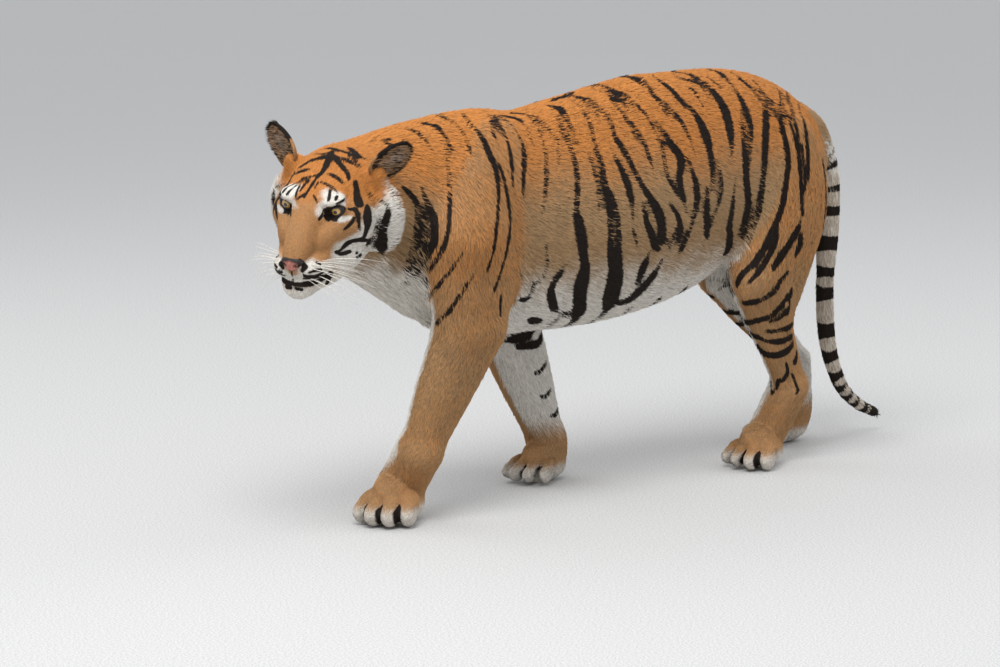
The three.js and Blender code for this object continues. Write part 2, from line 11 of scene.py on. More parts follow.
import itertools
import bpy
import numpy as np
import openvdb
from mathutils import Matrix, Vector


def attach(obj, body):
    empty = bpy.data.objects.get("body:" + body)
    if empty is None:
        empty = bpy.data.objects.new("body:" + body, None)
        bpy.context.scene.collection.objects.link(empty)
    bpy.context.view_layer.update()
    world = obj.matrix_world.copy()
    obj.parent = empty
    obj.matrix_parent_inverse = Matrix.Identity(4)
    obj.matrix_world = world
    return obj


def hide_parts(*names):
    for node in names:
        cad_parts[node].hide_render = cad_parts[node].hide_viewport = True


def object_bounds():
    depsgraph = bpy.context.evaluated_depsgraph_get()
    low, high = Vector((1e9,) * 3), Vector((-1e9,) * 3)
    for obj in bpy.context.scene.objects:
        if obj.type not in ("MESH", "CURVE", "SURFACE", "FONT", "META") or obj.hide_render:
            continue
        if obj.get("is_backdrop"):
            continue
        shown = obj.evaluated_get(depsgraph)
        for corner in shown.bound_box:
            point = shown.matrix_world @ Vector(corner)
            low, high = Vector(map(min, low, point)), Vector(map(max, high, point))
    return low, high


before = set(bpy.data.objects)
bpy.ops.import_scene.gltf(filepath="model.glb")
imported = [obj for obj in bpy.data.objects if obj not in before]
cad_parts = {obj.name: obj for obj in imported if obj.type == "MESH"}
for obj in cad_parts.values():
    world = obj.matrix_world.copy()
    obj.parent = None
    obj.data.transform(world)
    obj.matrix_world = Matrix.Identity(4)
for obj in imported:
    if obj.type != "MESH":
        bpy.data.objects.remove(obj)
cad_low, cad_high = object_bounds()
rng = np.random.default_rng(11)

ORIGIN = np.array([0.35, 390.93, 0.0])  # middle of the footprint
SKIN_CELL = 9.0  # edge of the skin's faces on the trunk
FACE_CELL = 2.6  # round the eyes, nose and mouth
TUFTS = 340000
EAR_TUFTS = 7000  # on each ear
PER_PIECE = 48000  # tufts in one piece of the coat
REACH = 30.0  # marks are measured no further than this from their edge

# ---- the animal's measures ----------------------------------------------------------------------
FORE_BONES, HIND_BONES = ("shoulder", "elbow", "carpus", "paw"), ("hip", "knee", "hock", "paw")
# Stations of the tubes: x, y, z, then half sizes sideways, above and below.
TRUNK = [
    [0, -165, 545, 76, 105, 120], [0, -100, 570, 128, 215, 185], [0, 30, 600, 166, 288, 226],
    [0, 150, 605, 188, 280, 232], [0, 290, 610, 204, 296, 240], [0, 430, 615, 211, 312, 238],
    [0, 580, 630, 206, 318, 224], [0, 730, 660, 188, 290, 195], [0, 870, 680, 171, 260, 175],
    [0, 1000, 690, 136, 205, 160], [0, 1075, 695, 92, 140, 120], [0, 1118, 700, 55, 75, 70]]
NECK = [
    [0, 60, 640, 150, 225, 200], [0, -60, 670, 158, 218, 222], [0, -150, 690, 150, 196, 222],
    [0, -240, 705, 136, 165, 190], [0, -330, 715, 122, 135, 160]]
TAIL = [
    [0, 1070, 785, 62, 50, 60], [0, 1122, 770, 45, 40, 44], [-2, 1170, 712, 33, 32, 32],
    [-2, 1192, 640, 30, 30, 30], [-2, 1194, 540, 29, 29, 29], [-2, 1186, 440, 28, 28, 28],
    [-2, 1184, 340, 27, 27, 27], [-2, 1200, 228, 24, 24, 24], [0, 1240, 134, 21, 21, 21],
    [0, 1302, 80, 18, 18, 18], [2, 1364, 50, 15, 15, 15]]
# In the head's own axes: forwards, left, up from the middle between the eyes.
SKULL = [
    [-235, 0, -24, 90, 66, 84], [-170, 0, -10, 108, 86, 98], [-100, 0, 0, 98, 80, 98],
    [-42, 0, -8, 72, 60, 80], [8, 0, -30, 44, 50, 58], [50, 0, -50, 36, 38, 44],
    [76, 0, -68, 32, 28, 30], [90, 0, -78, 28, 21, 26]]
JAW = [[68, 14, -144, 24, 22, 24], [14, 42, -136, 28, 32, 32], [-50, 64, -110, 36, 42, 42],
       [-100, 74, -88, 36, 46, 46]]
FORE = {
    "left": dict(side=1, blade=[62, 62, 866], shoulder=[142, -120, 640], elbow=[126, -88, 430],
                 carpus=[80, -196, 160], paw=[41, -238, 0], turn=28, size=1.2),
    "right": dict(side=-1, blade=[-62, 82, 858], shoulder=[-142, -20, 600], elbow=[-127, 250, 385],
                  carpus=[-112, 362, 92], paw=[-92, 318, 0], turn=-12, size=1.08)}
HIND = {
    "left": dict(side=1, hip=[112, 950, 715], knee=[157, 780, 455], hock=[132, 918, 182],
                 paw=[118, 826, 0], turn=20, size=1.12),
    "right": dict(side=-1, hip=[-112, 965, 715], knee=[-152, 990, 425], hock=[-116, 1195, 175],
                  paw=[-64, 1085, 0], turn=0, size=1.08)}
HEAD_AT = np.array([90.0, -510, 727])  # the middle between the eyes
HEAD_YAW, HEAD_PITCH, HEAD_ROLL = 23.5, 17.0, 5.5  # degrees
EYE, EYE_RADIUS, LID_RADIUS = np.array([-18.0, 58, -1]), 17.6, 18.6
EYE_WIDE, EYE_ABOVE, EYE_BELOW, EYE_SLANT = 56, 31, 28, 13  # the opening of the lids, degrees
EYE_TURN = 4  # how far outwards the middle of the opening is turned, degrees
EAR_ROOT, EAR_TIP = np.array([-124.0, 108, 48]), np.array([-158.0, 165, 112])
EAR_FACE = {1: np.array([0.70, 0.66, -0.28]), -1: np.array([0.92, -0.30, -0.12])}
EAR_HIGH, EAR_WIDE = 54, 36  # half the height and half the width of the cup
NOSE = np.array([100.0, 0, -85])

# The dark marks. A line is one mark, its points are x y z and half width, or on the head
# forwards, left, up and half width, with = for a mark on both sides and 1 for a single one. A line
# that ends in a backslash goes on in the next.
# The head's mark that starts at 102 6 -143 is the dark lower lip with painted shade beneath it.
HEAD_MARKS = """
1 -125 -6 81 7.5  -89 4 79 7.5  -67 7 73 5.5  -49 6 66 4  -34 1 58 3  -20 -3 49 2.5  -5 -6 39 2
1 -106 1 81 7.5  -97 -19 78 7  -90 -40 72 6  -81 -58 62 5  -82 -71 53 3.5
1 -67 -76 39 3.5  -59 -54 55 5  -57 -36 64 4  -58 -27 67 2.5
1 -34 -38 50 2  -35 -19 57 2.5  -40 -2 62 3
1 -112 5 82 6.5  -95 24 77 6.5  -84 41 71 6  -77 56 62 4.5  -67 65 51 3
1 -52 23 65 2.5  -52 35 62 4.5  -51 47 55 4.5  -49 59 46 2.5
= -28 15 53 1.5  -28 31 49 2  -28 45 44 2  -20 58 37 2
= -19 40 42 2  -3 46 36 2  11 49 31 2
= -10 61 35 3  2 63 31 2.5
= -27 75 21 2.5  -4 74 24 2.5  10 67 24 1.5
= 2 9 35 1  9 17 30 1.5  17 25 23 1.5
1 -16 -32 42 2  3 -30 34 2  15 -27 26 1.5
1 -26 -13 52 1.5  -18 -21 45 1.5  -3 -24 37 1.5
1 -23 1 51 1.5  -5 -6 39 1.5  10 -10 29 1
1 -27 9 53 1  -11 6 43 1
1 -124 -52 70 3.5  -118 -29 78 4.5  -118 -10 82 4.5
1 -151 -48 71 3.5  -151 -21 79 5  -141 8 81 5.5  -141 31 78 4.5  -140 50 71 3
1 -170 15 77 5  -159 34 75 7  -151 52 69 5  -157 66 62 2
1 -113 18 81 4  -112 36 77 5  -111 52 70 4.5  -112 68 63 2.5
1 -133 35 77 3  -128 53 70 3.5  -125 69 64 2
= -75 77 42 4.5  -67 83 30 6  -59 88 21 9  -52 93 12 11  -48 95 8 11
= -88 105 13 3.5  -87 114 3 3.5  -90 129 -6 3  -94 143 -15 2
= -62 111 -8 8  -53 115 -20 14.5  -47 117 -33 14  -42 116 -48 9.5  -38 113 -60 7.5  -38 107 -76 6
= -22 83 1 2  -30 91 -1 4  -28 99 -11 4.5  -23 103 -25 3.5  -21 105 -40 2.5  -23 106 -48 1
= -18 94 -17 2.5  -12 92 -24 4  -3 86 -33 3  4 82 -37 2
= -64 108 -95 8.5  -64 108 -96 8.5
= -59 108 -90 3.5  -44 106 -83 4  -27 100 -74 6.5  -15 89 -73 6  -5 80 -77 4.5  10 75 -83 3.5  22 71 -83 2
= 25 70 -82 3  12 75 -91 4  -1 81 -94 4.5  -11 86 -95 2.5
= -27 94 -104 2.5  -27 94 -104 2.5
= -38 98 -115 3.5  -40 98 -118 2.5
= -27 94 -115 2  -27 94 -116 2
= -92 141 -17 4.5  -87 141 -31 6.5  -83 137 -48 7  -80 132 -69 7  -83 128 -93 8.5  -89 121 -115 9.5  \
-112 111 -147 9.5  -133 103 -167 4.5
= 28 36 -8 3.5  16 42 0 4.5  11 50 8 6
= 100 39 -102 2  89 50 -100 3  75 58 -103 2.5
= 99 23 -121 1.5  95 43 -118 4.5  75 52 -123 5  50 58 -131 2.5  41 63 -127 2
= 76 48 -85 3  72 55 -91 2
= 43 62 -132 6  45 55 -151 5.5
= 106 0 -132 3.5  98 21 -134 4  80 39 -136 4  60 51 -134 4.5  44 60 -127 5
= 102 6 -143 2.5  97 18 -146 3
= 101 20 -76 3  98 27 -84 4.5  95 28 -93 4.5  97 22 -100 3
1 108 0 -100 1.6  108 0 -124 1.6
= 97 27 -110 2  82 48 -112 2.5  66 55 -114 2
"""
BODY_MARKS = """
125 -274 758 2.5  135 -248 722 5.5  137 -245 678 5  125 -249 621 6.5  101 -257 571 4.5
132 -231 755 2  152 -218 697 6  160 -225 648 7.5  151 -225 623 8  102 -238 558 5  85 -235 531 6
141 -228 710 2  136 -238 638 3  113 -250 589 2
101 -132 839 1  145 -162 769 3  182 -198 687 3.5  186 -204 666 4  185 -209 645 4  166 -213 604 3.5  \
108 -217 543 3
204 -176 609 2  182 -190 573 3  149 -204 535 3.5  120 -202 512 3.5  89 -192 495 2.5
203 -141 557 2  188 -163 520 3.5  162 -183 477 4  124 -191 447 4.5
29 -191 875 3.5  60 -177 866 5.5  102 -171 831 2.5
50 -272 852 2  64 -258 846 2.5  82 -250 836 2
44 -261 857 2.5  48 -248 858 2.5
25 -144 885 2.5  52 -121 878 9  73 -121 867 5  120 -122 825 2
-31 -63 895 1.5  7 -76 896 5.5  59 -71 882 4  103 -81 855 3  135 -92 821 1.5
26 -21 896 4.5  92 -45 874 4  113 -46 860 4.5  156 -49 809 7.5  166 -46 790 6  192 -55 724 5  \
219 -86 655 4.5  219 -93 611 3  209 -105 563 1.5
81 10 885 1.5  114 -9 867 1.5  135 -15 847 1
23 46 898 2.5  89 20 883 3.5  122 12 859 1.5
64 48 890 2.5  95 33 880 3.5  127 24 850 3.5  151 17 810 6  178 -1 739 2.5
167 -29 789 1  182 -25 741 3.5  191 -18 657 6.5  197 -33 604 6.5  198 -78 509 2
192 -46 505 3.5  191 -48 458 3.5
71 60 885 1.5  100 70 864 2.5  126 73 828 5  139 67 808 7.5  161 47 760 7  173 35 715 1.5
61 66 888 2  59 110 879 6  68 120 872 6  122 107 823 1
30 118 887 2  27 139 885 3.5  37 157 883 4.5  75 156 865 2.5  118 144 827 2.5  155 119 765 5.5  178 86 674 3
54 178 878 2  93 179 854 3.5  125 177 821 3  151 159 777 1.5
22 235 897 2.5  53 247 890 9  93 240 865 5  137 230 818 1.5
73 216 875 1  122 207 832 4  155 204 781 6.5  179 191 716 6  187 179 673 6.5  190 181 653 11  \
193 190 610 13.5  190 201 559 9.5  186 208 535 12.5  178 206 512 18.5  155 220 463 17  \
115 252 414 16.5
35 301 905 1.5  100 292 869 4.5  150 273 809 5  169 274 772 5.5  189 267 713 7  198 272 673 7.5  \
202 270 626 6.5  200 272 576 7  193 284 533 8.5
188 271 718 4  194 281 697 6  202 293 652 4.5  203 295 583 8  201 295 565 12
200 289 566 14  190 298 523 20.5  169 310 474 23  153 319 450 21.5  123 335 418 10.5
7 326 912 2.5  32 328 909 7  53 330 903 5.5  108 322 868 1
2 260 903 3.5  7 267 904 5.5  5 282 906 4.5
2 291 907 6  6 309 910 8
54 347 905 1  107 348 873 3.5  150 335 820 6  159 342 807 6.5  190 363 740 6  201 381 703 7  \
210 417 644 12  210 426 597 11  208 425 577 6.5
205 371 675 3.5  209 377 634 6.5  209 396 591 8.5  207 407 571 7.5  206 421 563 4.5
153 246 798 1.5  178 247 743 4  196 240 664 1.5
158 309 802 2.5  195 332 715 8.5  207 338 637 2
207 335 619 2  208 341 607 5  206 352 579 2.5
-35 431 927 3  1 422 929 4  47 420 920 7.5  65 419 913 8  111 413 880 1.5
0 392 923 2.5  57 392 912 4  75 394 904 6  84 404 899 5
78 384 900 1.5  127 391 860 6  159 389 815 1.5
64 438 916 1  103 442 891 3  132 450 863 4.5  170 454 804 2.5
136 401 851 1.5  169 411 800 5  191 413 747 2.5
-9 508 942 6  21 508 941 8.5  68 501 924 3.5  107 505 896 5.5  145 513 853 2.5
11 518 943 3  31 525 940 4.5  53 522 933 4.5  93 509 909 4.5  108 511 896 4
3 580 944 2.5  42 565 939 4.5  65 565 929 7  118 575 888 8.5  130 576 873 3
118 526 887 1.5  151 543 844 7  185 555 768 1.5
145 472 849 1  171 485 804 7.5  183 502 776 11  189 504 758 10  200 490 719 8  207 496 678 7  210 503 643 2
171 472 803 3  174 458 795 5.5  194 454 742 6  199 458 722 5  206 481 684 4.5
208 450 668 1.5  210 477 634 6  209 484 594 7.5  207 481 574 6.5
211 477 616 2.5  209 460 583 6  205 454 562 5
187 530 763 2.5  202 542 699 8.5  208 537 654 7.5  209 520 610 6  201 493 551 7.5
123 593 880 2.5  162 606 818 14  179 606 775 9.5  201 597 685 3.5
201 575 696 2  203 578 676 6.5  207 572 626 9  201 578 578 8.5
-4 645 946 2.5  40 678 938 6.5  80 674 918 7  109 668 893 2
24 635 942 2.5  48 633 935 4.5  69 661 925 4
82 626 917 2.5  93 635 908 4.5  128 636 871 3
73 694 923 1.5  107 697 895 9  133 700 862 13  157 693 818 11  180 680 756 3
51 712 935 1.5  81 726 917 3  91 725 909 2.5
-11 768 946 1  17 766 944 6  36 773 939 7  60 769 929 7  93 769 906 4.5  120 769 875 8  \
153 766 817 7  181 735 728 3
28 815 939 2  69 820 920 7  98 828 894 4  111 824 880 2.5
133 750 859 1.5  164 732 795 7  186 721 702 9.5  187 725 632 11  177 709 566 5
186 629 749 2  198 627 683 6.5  204 587 599 3
189 682 710 1.5  196 667 642 7  193 661 596 10  172 682 545 12  161 683 525 11
93 853 896 1.5  139 830 837 8.5  160 809 791 10  174 792 742 8.5  190 758 624 6.5  181 722 538 2
60 859 919 2  107 866 877 4.5  137 846 841 4.5
33 948 907 1  78 940 884 4.5  131 896 849 3.5  149 878 828 4.5  161 865 806 4.5  180 863 737 7  \
192 849 692 7  205 819 625 7  209 776 559 8  202 740 512 6.5  194 719 495 6  179 705 476 6  \
164 700 449 6
211 800 571 4.5  213 789 549 7  213 762 509 5.5  207 726 474 4  197 714 458 3
45 997 881 2  85 966 869 5  119 942 852 4.5  147 919 832 3.5  166 907 810 4  203 891 650 4.5  209 891 603 5
66 1021 854 5  127 971 841 4  156 950 823 5  170 940 801 4.5  186 932 732 6.5  196 922 687 4.5
113 884 867 1.5  133 873 846 3  161 858 802 2
135 908 843 1.5  155 895 822 2.5  167 893 800 3  185 899 730 3
177 913 776 1.5  192 912 706 3.5  200 904 660 4
182 95 602 2  175 101 544 4  165 90 513 2.5
165 74 519 3  151 75 486 5.5  145 68 475 5.5  146 47 475 3
183 154 551 3  173 134 521 8  165 128 502 8.5  156 131 481 9.5  130 165 436 8.5
108 114 418 10  93 146 404 13.5
206 393 563 3  195 382 524 10  178 379 486 7.5
198 436 533 5.5  183 422 496 10  163 401 462 16  150 388 445 16  141 368 435 13.5
150 1030 760 3  172 1010 690 5  176 1000 620 5  172 985 560 3
120 1072 770 2.5  146 1052 700 5  152 1040 630 5  150 1022 560 3
84 1100 730 2.5  108 1086 660 4.5  116 1070 590 4
170 968 520 3  160 985 470 5  140 990 430 3
100 262 408 12  50 275 392 9  5 280 388 4
118 338 408 11  60 345 392 9  10 350 388 4
130 420 402 11  70 430 388 8  20 436 384 4
140 505 420 9  80 520 398 8  25 530 392 4
140 590 440 8  85 605 418 7  30 612 412 3
125 200 420 9  70 205 396 7  20 206 390 3
"""
# Marks of the hind legs: place down the leg (0 hip, 1 knee, 2 hock, 3 paw), angle round it
# (0 in front, 90 outside) and half width.
HIND_MARKS = """
0.53 107 4.5  0.61 102 7.5  0.68 98 7.5  0.77 91 7.5  0.85 84 7  0.95 76 5
0.58 121 5.5  0.64 127 7.5  0.71 131 6  0.74 131 3
0.87 129 3  0.94 118 5  1.03 98 6  1.05 75 6  1.06 45 6  1.06 14 7
1.19 154 3.5  1.21 152 7.5  1.23 147 8.5  1.19 124 7.5  1.21 105 7.5  1.22 85 6.5  1.24 63 5.5  \
1.24 43 6  1.24 24 6  1.26 4 5.5  1.31 -28 3.5
1.29 138 4.5  1.31 125 7  1.30 102 5  1.30 80 4.5  1.29 57 3.5
1.46 135 4.5  1.44 108 5.5  1.41 81 5  1.38 56 3.5  1.36 38 2.5
1.55 126 5  1.52 91 6.5  1.50 67 6.5  1.47 43 4.5  1.44 27 4  1.40 15 6.5  1.40 3 7
1.62 125 4.5  1.62 100 7  1.62 73 7.5  1.61 47 8  1.59 24 8.5  1.57 7 10.5  1.54 -4 9.5
1.72 70 2.5  1.80 66 5  1.85 44 5.5  1.88 17 4.5  2.16 -4 4  1.90 -22 3.5
1.72 136 7  1.76 121 8.5  1.76 103 4
1.85 83 3.5  1.91 79 2.5  2.07 73 2
"""
FORE_MARKS = """
1.06 -150 6  1.10 -120 11  1.12 -90 13  1.10 -60 10  1.06 -30 5
1.22 -160 5  1.24 -125 8  1.21 -90 8  1.17 -55 5
1.42 -140 4  1.44 -105 5  1.43 -80 3
1.62 -130 3  1.64 -100 4  1.62 -75 2
1.80 -150 3  1.82 -120 4  1.80 -95 2
1.30 168 2.5  1.36 176 3.5  1.41 -178 2
1.60 160 2  1.66 168 3  1.72 174 2
0.55 170 2  0.62 175 3.5  0.68 -176 2
"""
# Rings of the tail: millimetres along it from the first bend, and half width.
TAIL_RINGS = [(-45, 3), (-22, 4), (4, 6), (33, 9), (94, 9), (149, 13), (229, 18), (299, 12), (352, 16),
              (443, 18), (509, 14), (563, 11), (599, 8), (632, 8), (664, 8), (700, 9), (745, 24)]
# Pale patches of the head: forwards, left, up, radius, strength; on both sides.
PALE_HEAD = [
    (2, 52, 32, 30, 1), (-16, 68, 26, 24, 0.8), (24, 32, 10, 17, 0.8), (-52, 118, -50, 42, 0.85),
    (-22, 100, -78, 38, 0.9), (-95, 145, -30, 46, 0.95), (-118, 135, -100, 62, 1),
    (-128, 120, 10, 30, 0.6), (86, 34, -108, 31, 1), (58, 52, -112, 28, 0.95),
    (80, 0, -168, 46, 1), (40, 34, -158, 46, 1), (-30, 60, -140, 70, 1), (-100, 70, -160, 90, 1),
    (20, 78, -92, 32, 0.9), (100, 12, -122, 18, 1)]


def unit(v):
    v = np.asarray(v, float)
    return v / np.maximum(np.linalg.norm(v, axis=-1, keepdims=True), 1e-9)


def step(x, low, high):
    """0 below low, 1 above high, and a smooth S between."""
    t = np.clip((x - low) / (high - low), 0, 1)
    return t * t * (3 - 2 * t)


def near_to(p, centre, spread, far, close):
    """1 within close of centre, 0 beyond far, a smooth S between; the axes are divided by spread."""
    return step(-np.linalg.norm((p - centre) / spread, axis=1), -far, -close)


def between(p, low, high):
    """Which points lie in the box from low to high."""
    return np.all((p > low) & (p < high), 1)


def on_left(q):
    """Points of either side of the head, moved to its left side."""
    return np.stack([q[:, 0], np.abs(q[:, 1]), q[:, 2]], 1)


def smooth_curve(points, n):
    """Catmull-Rom: for each span p1..p2, half of 2 p1 + (p2-p0) t + (2p0-5p1+4p2-p3) t^2
    + (3p1-p0-3p2+p3) t^3, at n values of t."""
    P = np.asarray(points, float)
    if len(P) < 2:
        return P
    Q = np.vstack([2 * P[0] - P[1], P, 2 * P[-1] - P[-2]])
    p0, p1, p2, p3 = (Q[i:len(P) - 1 + i, None] for i in range(4))
    t = (np.arange(n) / n)[None, :, None]
    c = 2 * p1 + (p2 - p0) * t + (2 * p0 - 5 * p1 + 4 * p2 - p3) * t**2 + (3 * p1 - p0 - 3 * p2 + p3) * t**3
    return np.vstack([c.reshape(-1, P.shape[1]) / 2, P[-1:]])


def to_oval(q, r):
    """Signed distance, near enough, from the offsets q to an ellipsoid of half sizes r."""
    k0 = np.sqrt(((q / r)**2).sum(1)) + 1e-9
    return k0 * (k0 - 1) / (np.sqrt(((q / (r * r))**2).sum(1)) + 1e-9)


# ---- the flesh ----------------------------------------------------------------------------------
class Tube:
    """A tube through stations, oval across: half sizes sideways, above and below its middle line."""

    def __init__(self, stations, join, part, up=(0, 0, 1), n=4, cap=None):
        self.S, self.join, self.part, self.cap = smooth_curve(stations, n), join, part, cap
        self.up = np.array(up, float)
        r = self.S[:, 3:].max()
        self.low, self.high = self.S[:, :3].min(0) - r, self.S[:, :3].max(0) + r

    def spans(self):
        for a, b in zip(self.S[:-1], self.S[1:]):
            ab = b[:3] - a[:3]
            if ab @ ab > 1e-9:
                yield a, b, ab

    def distance(self, p):
        best = np.full(len(p), 1e6)
        for a, b, ab in self.spans():
            T = ab / np.sqrt(ab @ ab)
            U = unit(np.cross(self.up, T))
            t = np.clip((p - a[:3]) @ ab / (ab @ ab), 0, 1)
            q = p - a[:3] - t[:, None] * ab
            r = a[3:] + (b[3:] - a[3:]) * t[:, None]
            v = q @ np.cross(T, U)
            rv = np.where(v > 0, r[:, 1], r[:, 2])
            rt = np.minimum(r[:, 0], rv) if self.cap is None else np.full(len(p), float(self.cap))
            away, half = np.stack([q @ U, v, q @ T], 1), np.stack([r[:, 0], rv, rt], 1)
            best = np.minimum(best, to_oval(away, half))
        return best

    def along(self, p):
        """The way the tube runs at the place nearest each point, how far along, and how far off."""
        best, way, run, acc = np.full(len(p), 1e9), np.zeros((len(p), 3)), np.zeros(len(p)), 0.0
        for a, _, ab in self.spans():
            L = np.sqrt(ab @ ab)
            t = np.clip((p - a[:3]) @ ab / (L * L), 0, 1)
            d = np.linalg.norm(p - a[:3] - t[:, None] * ab, axis=1)
            near = d < best
            best[near], way[near], run[near] = d[near], ab / L, (acc + t * L)[near]
            acc += L
        return way, run, best


class Oval:
    """An ellipsoid: half sizes along axis, across it towards spread, and across both."""

    def __init__(self, centre, half, join, part, axis=(1, 0, 0), spread=(0, 1, 0)):
        self.c, self.r, self.join, self.part = np.array(centre, float), np.array(half, float), join, part
        T = unit(axis)
        U = unit(np.array(spread, float) - (np.array(spread, float) @ T) * T)
        self.M = np.stack([T, U, np.cross(T, U)], 1)
        self.low, self.high = self.c - self.r.max(), self.c + self.r.max()

    def distance(self, p):
        return to_oval((p - self.c) @ self.M, self.r[None])


def head_axes():
    """The head's forwards, left and up as columns: forwards is -Y turned by the yaw and lowered by
    the pitch, and left and up are then turned about it by the roll."""
    y, p, r = np.radians([HEAD_YAW, HEAD_PITCH, HEAD_ROLL])
    f = np.array([np.sin(y) * np.cos(p), -np.cos(y) * np.cos(p), -np.sin(p)])
    l0 = np.array([np.cos(y), np.sin(y), 0.0])
    u0 = np.cross(l0, f)
    u0 *= np.sign(u0[2])
    return np.stack([f, l0 * np.cos(r) - u0 * np.sin(r), u0 * np.cos(r) + l0 * np.sin(r)], 1)


HEAD = head_axes()


def in_head(p):
    """Points of the animal's frame in the head's axes."""
    return (np.asarray(p, float) - HEAD_AT) @ HEAD


def from_head(q):
    """Points in the head's axes in the animal's frame."""
    return np.asarray(q, float) @ HEAD.T + HEAD_AT


class OnHead:
    """A shape given in the head's axes, the same on the left and the right."""

    def __init__(self, shape):
        self.shape, self.join, self.part = shape, shape.join, "head"
        low, high = shape.low.copy(), shape.high.copy()
        high[1] = max(abs(low[1]), abs(high[1]))
        low[1] = -high[1]
        corners = from_head(list(itertools.product(*zip(low, high))))
        self.low, self.high = corners.min(0), corners.max(0)

    def distance(self, p):
        return self.shape.distance(on_left(in_head(p)))


def off(p, *v):
    """The point p moved by v."""
    return [p[i] + v[i] for i in range(3)]


def mix(a, b, t):
    """The point a share t of the way from a to b."""
    return [a[i] + (b[i] - a[i]) * t for i in range(3)]


def muscle(a, b, thick, wide, over, part, join=45):
    """An oval from a to b, and over millimetres past both."""
    a, b = np.array(a, float), np.array(b, float)
    half = (np.linalg.norm(b - a) / 2 + over, thick, wide)
    return Oval((a + b) / 2, half, join, part, axis=b - a, spread=(1, 0, 0))


def paw_axes(leg):
    """Forwards and outwards along the floor for the leg's paw, which is turned outwards by turn."""
    a, s = np.radians(leg["turn"]), leg["side"]
    return np.array([np.sin(a) * s, -np.cos(a), 0]), np.array([np.cos(a) * s, np.sin(a), 0])


def paw(leg, top, behind, part):
    """A tube from top down into the pad, the pad's oval, and two ovals for each of four toes."""
    s, size, P = leg["side"], leg["size"], np.array(leg["paw"], float)
    (f, l), u = paw_axes(leg), np.array([0, 0, 1.0])
    at = lambda F, L, U: list(P + f * F * size + l * L * size + u * U * size)
    half = lambda *h: [v * size for v in h]
    stations = [list(top) + half(46, 48, 48), at(-behind, 0, 62) + half(48, 46, 46),
                at(-8, 0, 46) + half(54, 42, 42), at(20, 0, 36) + half(56, 30, 32)]
    up = (0, 0, 1) if abs(top[1] - P[1]) > 120 else (s, 0, 0.01)
    out = [Tube(stations, 14, part, up=up),
           Oval(at(-22, 0, 30), half(55, 50, 34), 16, part, axis=f, spread=l)]
    for L, F in ((-44, 26), (-16, 46), (15, 48), (43, 30)):
        way = f + l * L / 160
        out.append(Oval(at(F - 12, L * 0.92, 40), half(36, 19, 21), 8, part, axis=way - u * 0.35, spread=l))
        out.append(Oval(at(F + 8, L, 24), half(32, 18.5, 24), 7, part, axis=way, spread=l))
    return out


def foreleg(leg, part):
    """Shoulder blade, triceps, upper arm, forearm and paw."""
    s, (B, S, E, C) = leg["side"], (leg[n] for n in ("blade", "shoulder", "elbow", "carpus"))
    up = (s, 0, 0.01)
    blade = [[B[0], B[1], B[2] - 30, 36, 30, 30], mix(B, S, 0.3) + [80, 56, 50],
             mix(B, S, 0.65) + [98, 72, 60], S + [100, 72, 66]]
    upper_arm = [S + [98, 72, 66], mix(S, E, 0.5) + [100, 68, 64], E + [94, 66, 60]]
    forearm = [E + [94, 66, 60], off(mix(E, C, 0.25), 0, -2, 0) + [86, 62, 56],
               off(mix(E, C, 0.55), 0, -2, 0) + [74, 54, 52], mix(E, C, 0.86) + [58, 48, 46],
               C + [55, 50, 48]]
    return [
        Tube(blade, 45, part, up=up),
        muscle(off(mix(B, S, 0.55), 0, 60, -10), off(E, 4 * s, 50, 10), 48, 74, 10, part),  # triceps
        Tube(upper_arm, 40, part, up=up),
        Tube(forearm, 25, part, up=up)] + paw(leg, C, 38, part)


def hindleg(leg, part):
    """Thigh with its muscles, kneecap, shank with its tendon, heel and paw."""
    s, (H, K, O) = leg["side"], (leg[n] for n in ("hip", "knee", "hock"))
    up, heel, level = (s, 0, 0.01), off(O, 0, 34, 16), dict(axis=(0, 1, 0), spread=(1, 0, 0))
    thigh = [off(H, 0, -30, 60) + [75, 58, 60], off(mix(H, K, 0.35), 0, 8, 0) + [122, 74, 70],
             off(mix(H, K, 0.72), 0, 2, 0) + [94, 72, 66], K + [76, 62, 56]]
    shank = [K + [76, 62, 56], mix(K, O, 0.3) + [68, 56, 52], mix(K, O, 0.62) + [52, 44, 42],
             mix(K, O, 0.88) + [44, 38, 38], O + [44, 40, 40]]
    return [
        Tube(thigh, 55, part, up=up),
        muscle(off(H, -10 * s, 62, 20), mix(K, O, 0.5), 62, 68, 10, part),  # hamstrings
        muscle(off(H, 10 * s, -90, -20), off(K, 0, -22, 10), 50, 66, 5, part),  # front of the thigh
        Oval(off(K, 0, -28, 6), (34, 40, 44), 25, part, **level),  # kneecap
        Tube(shank, 30, part, up=up),
        muscle(mix(K, heel, 0.3), heel, 26, 32, 8, part, 22),  # tendon of the heel
        Oval(heel, (23, 25, 25), 18, part, **level)] + paw(leg, O, 50, part)


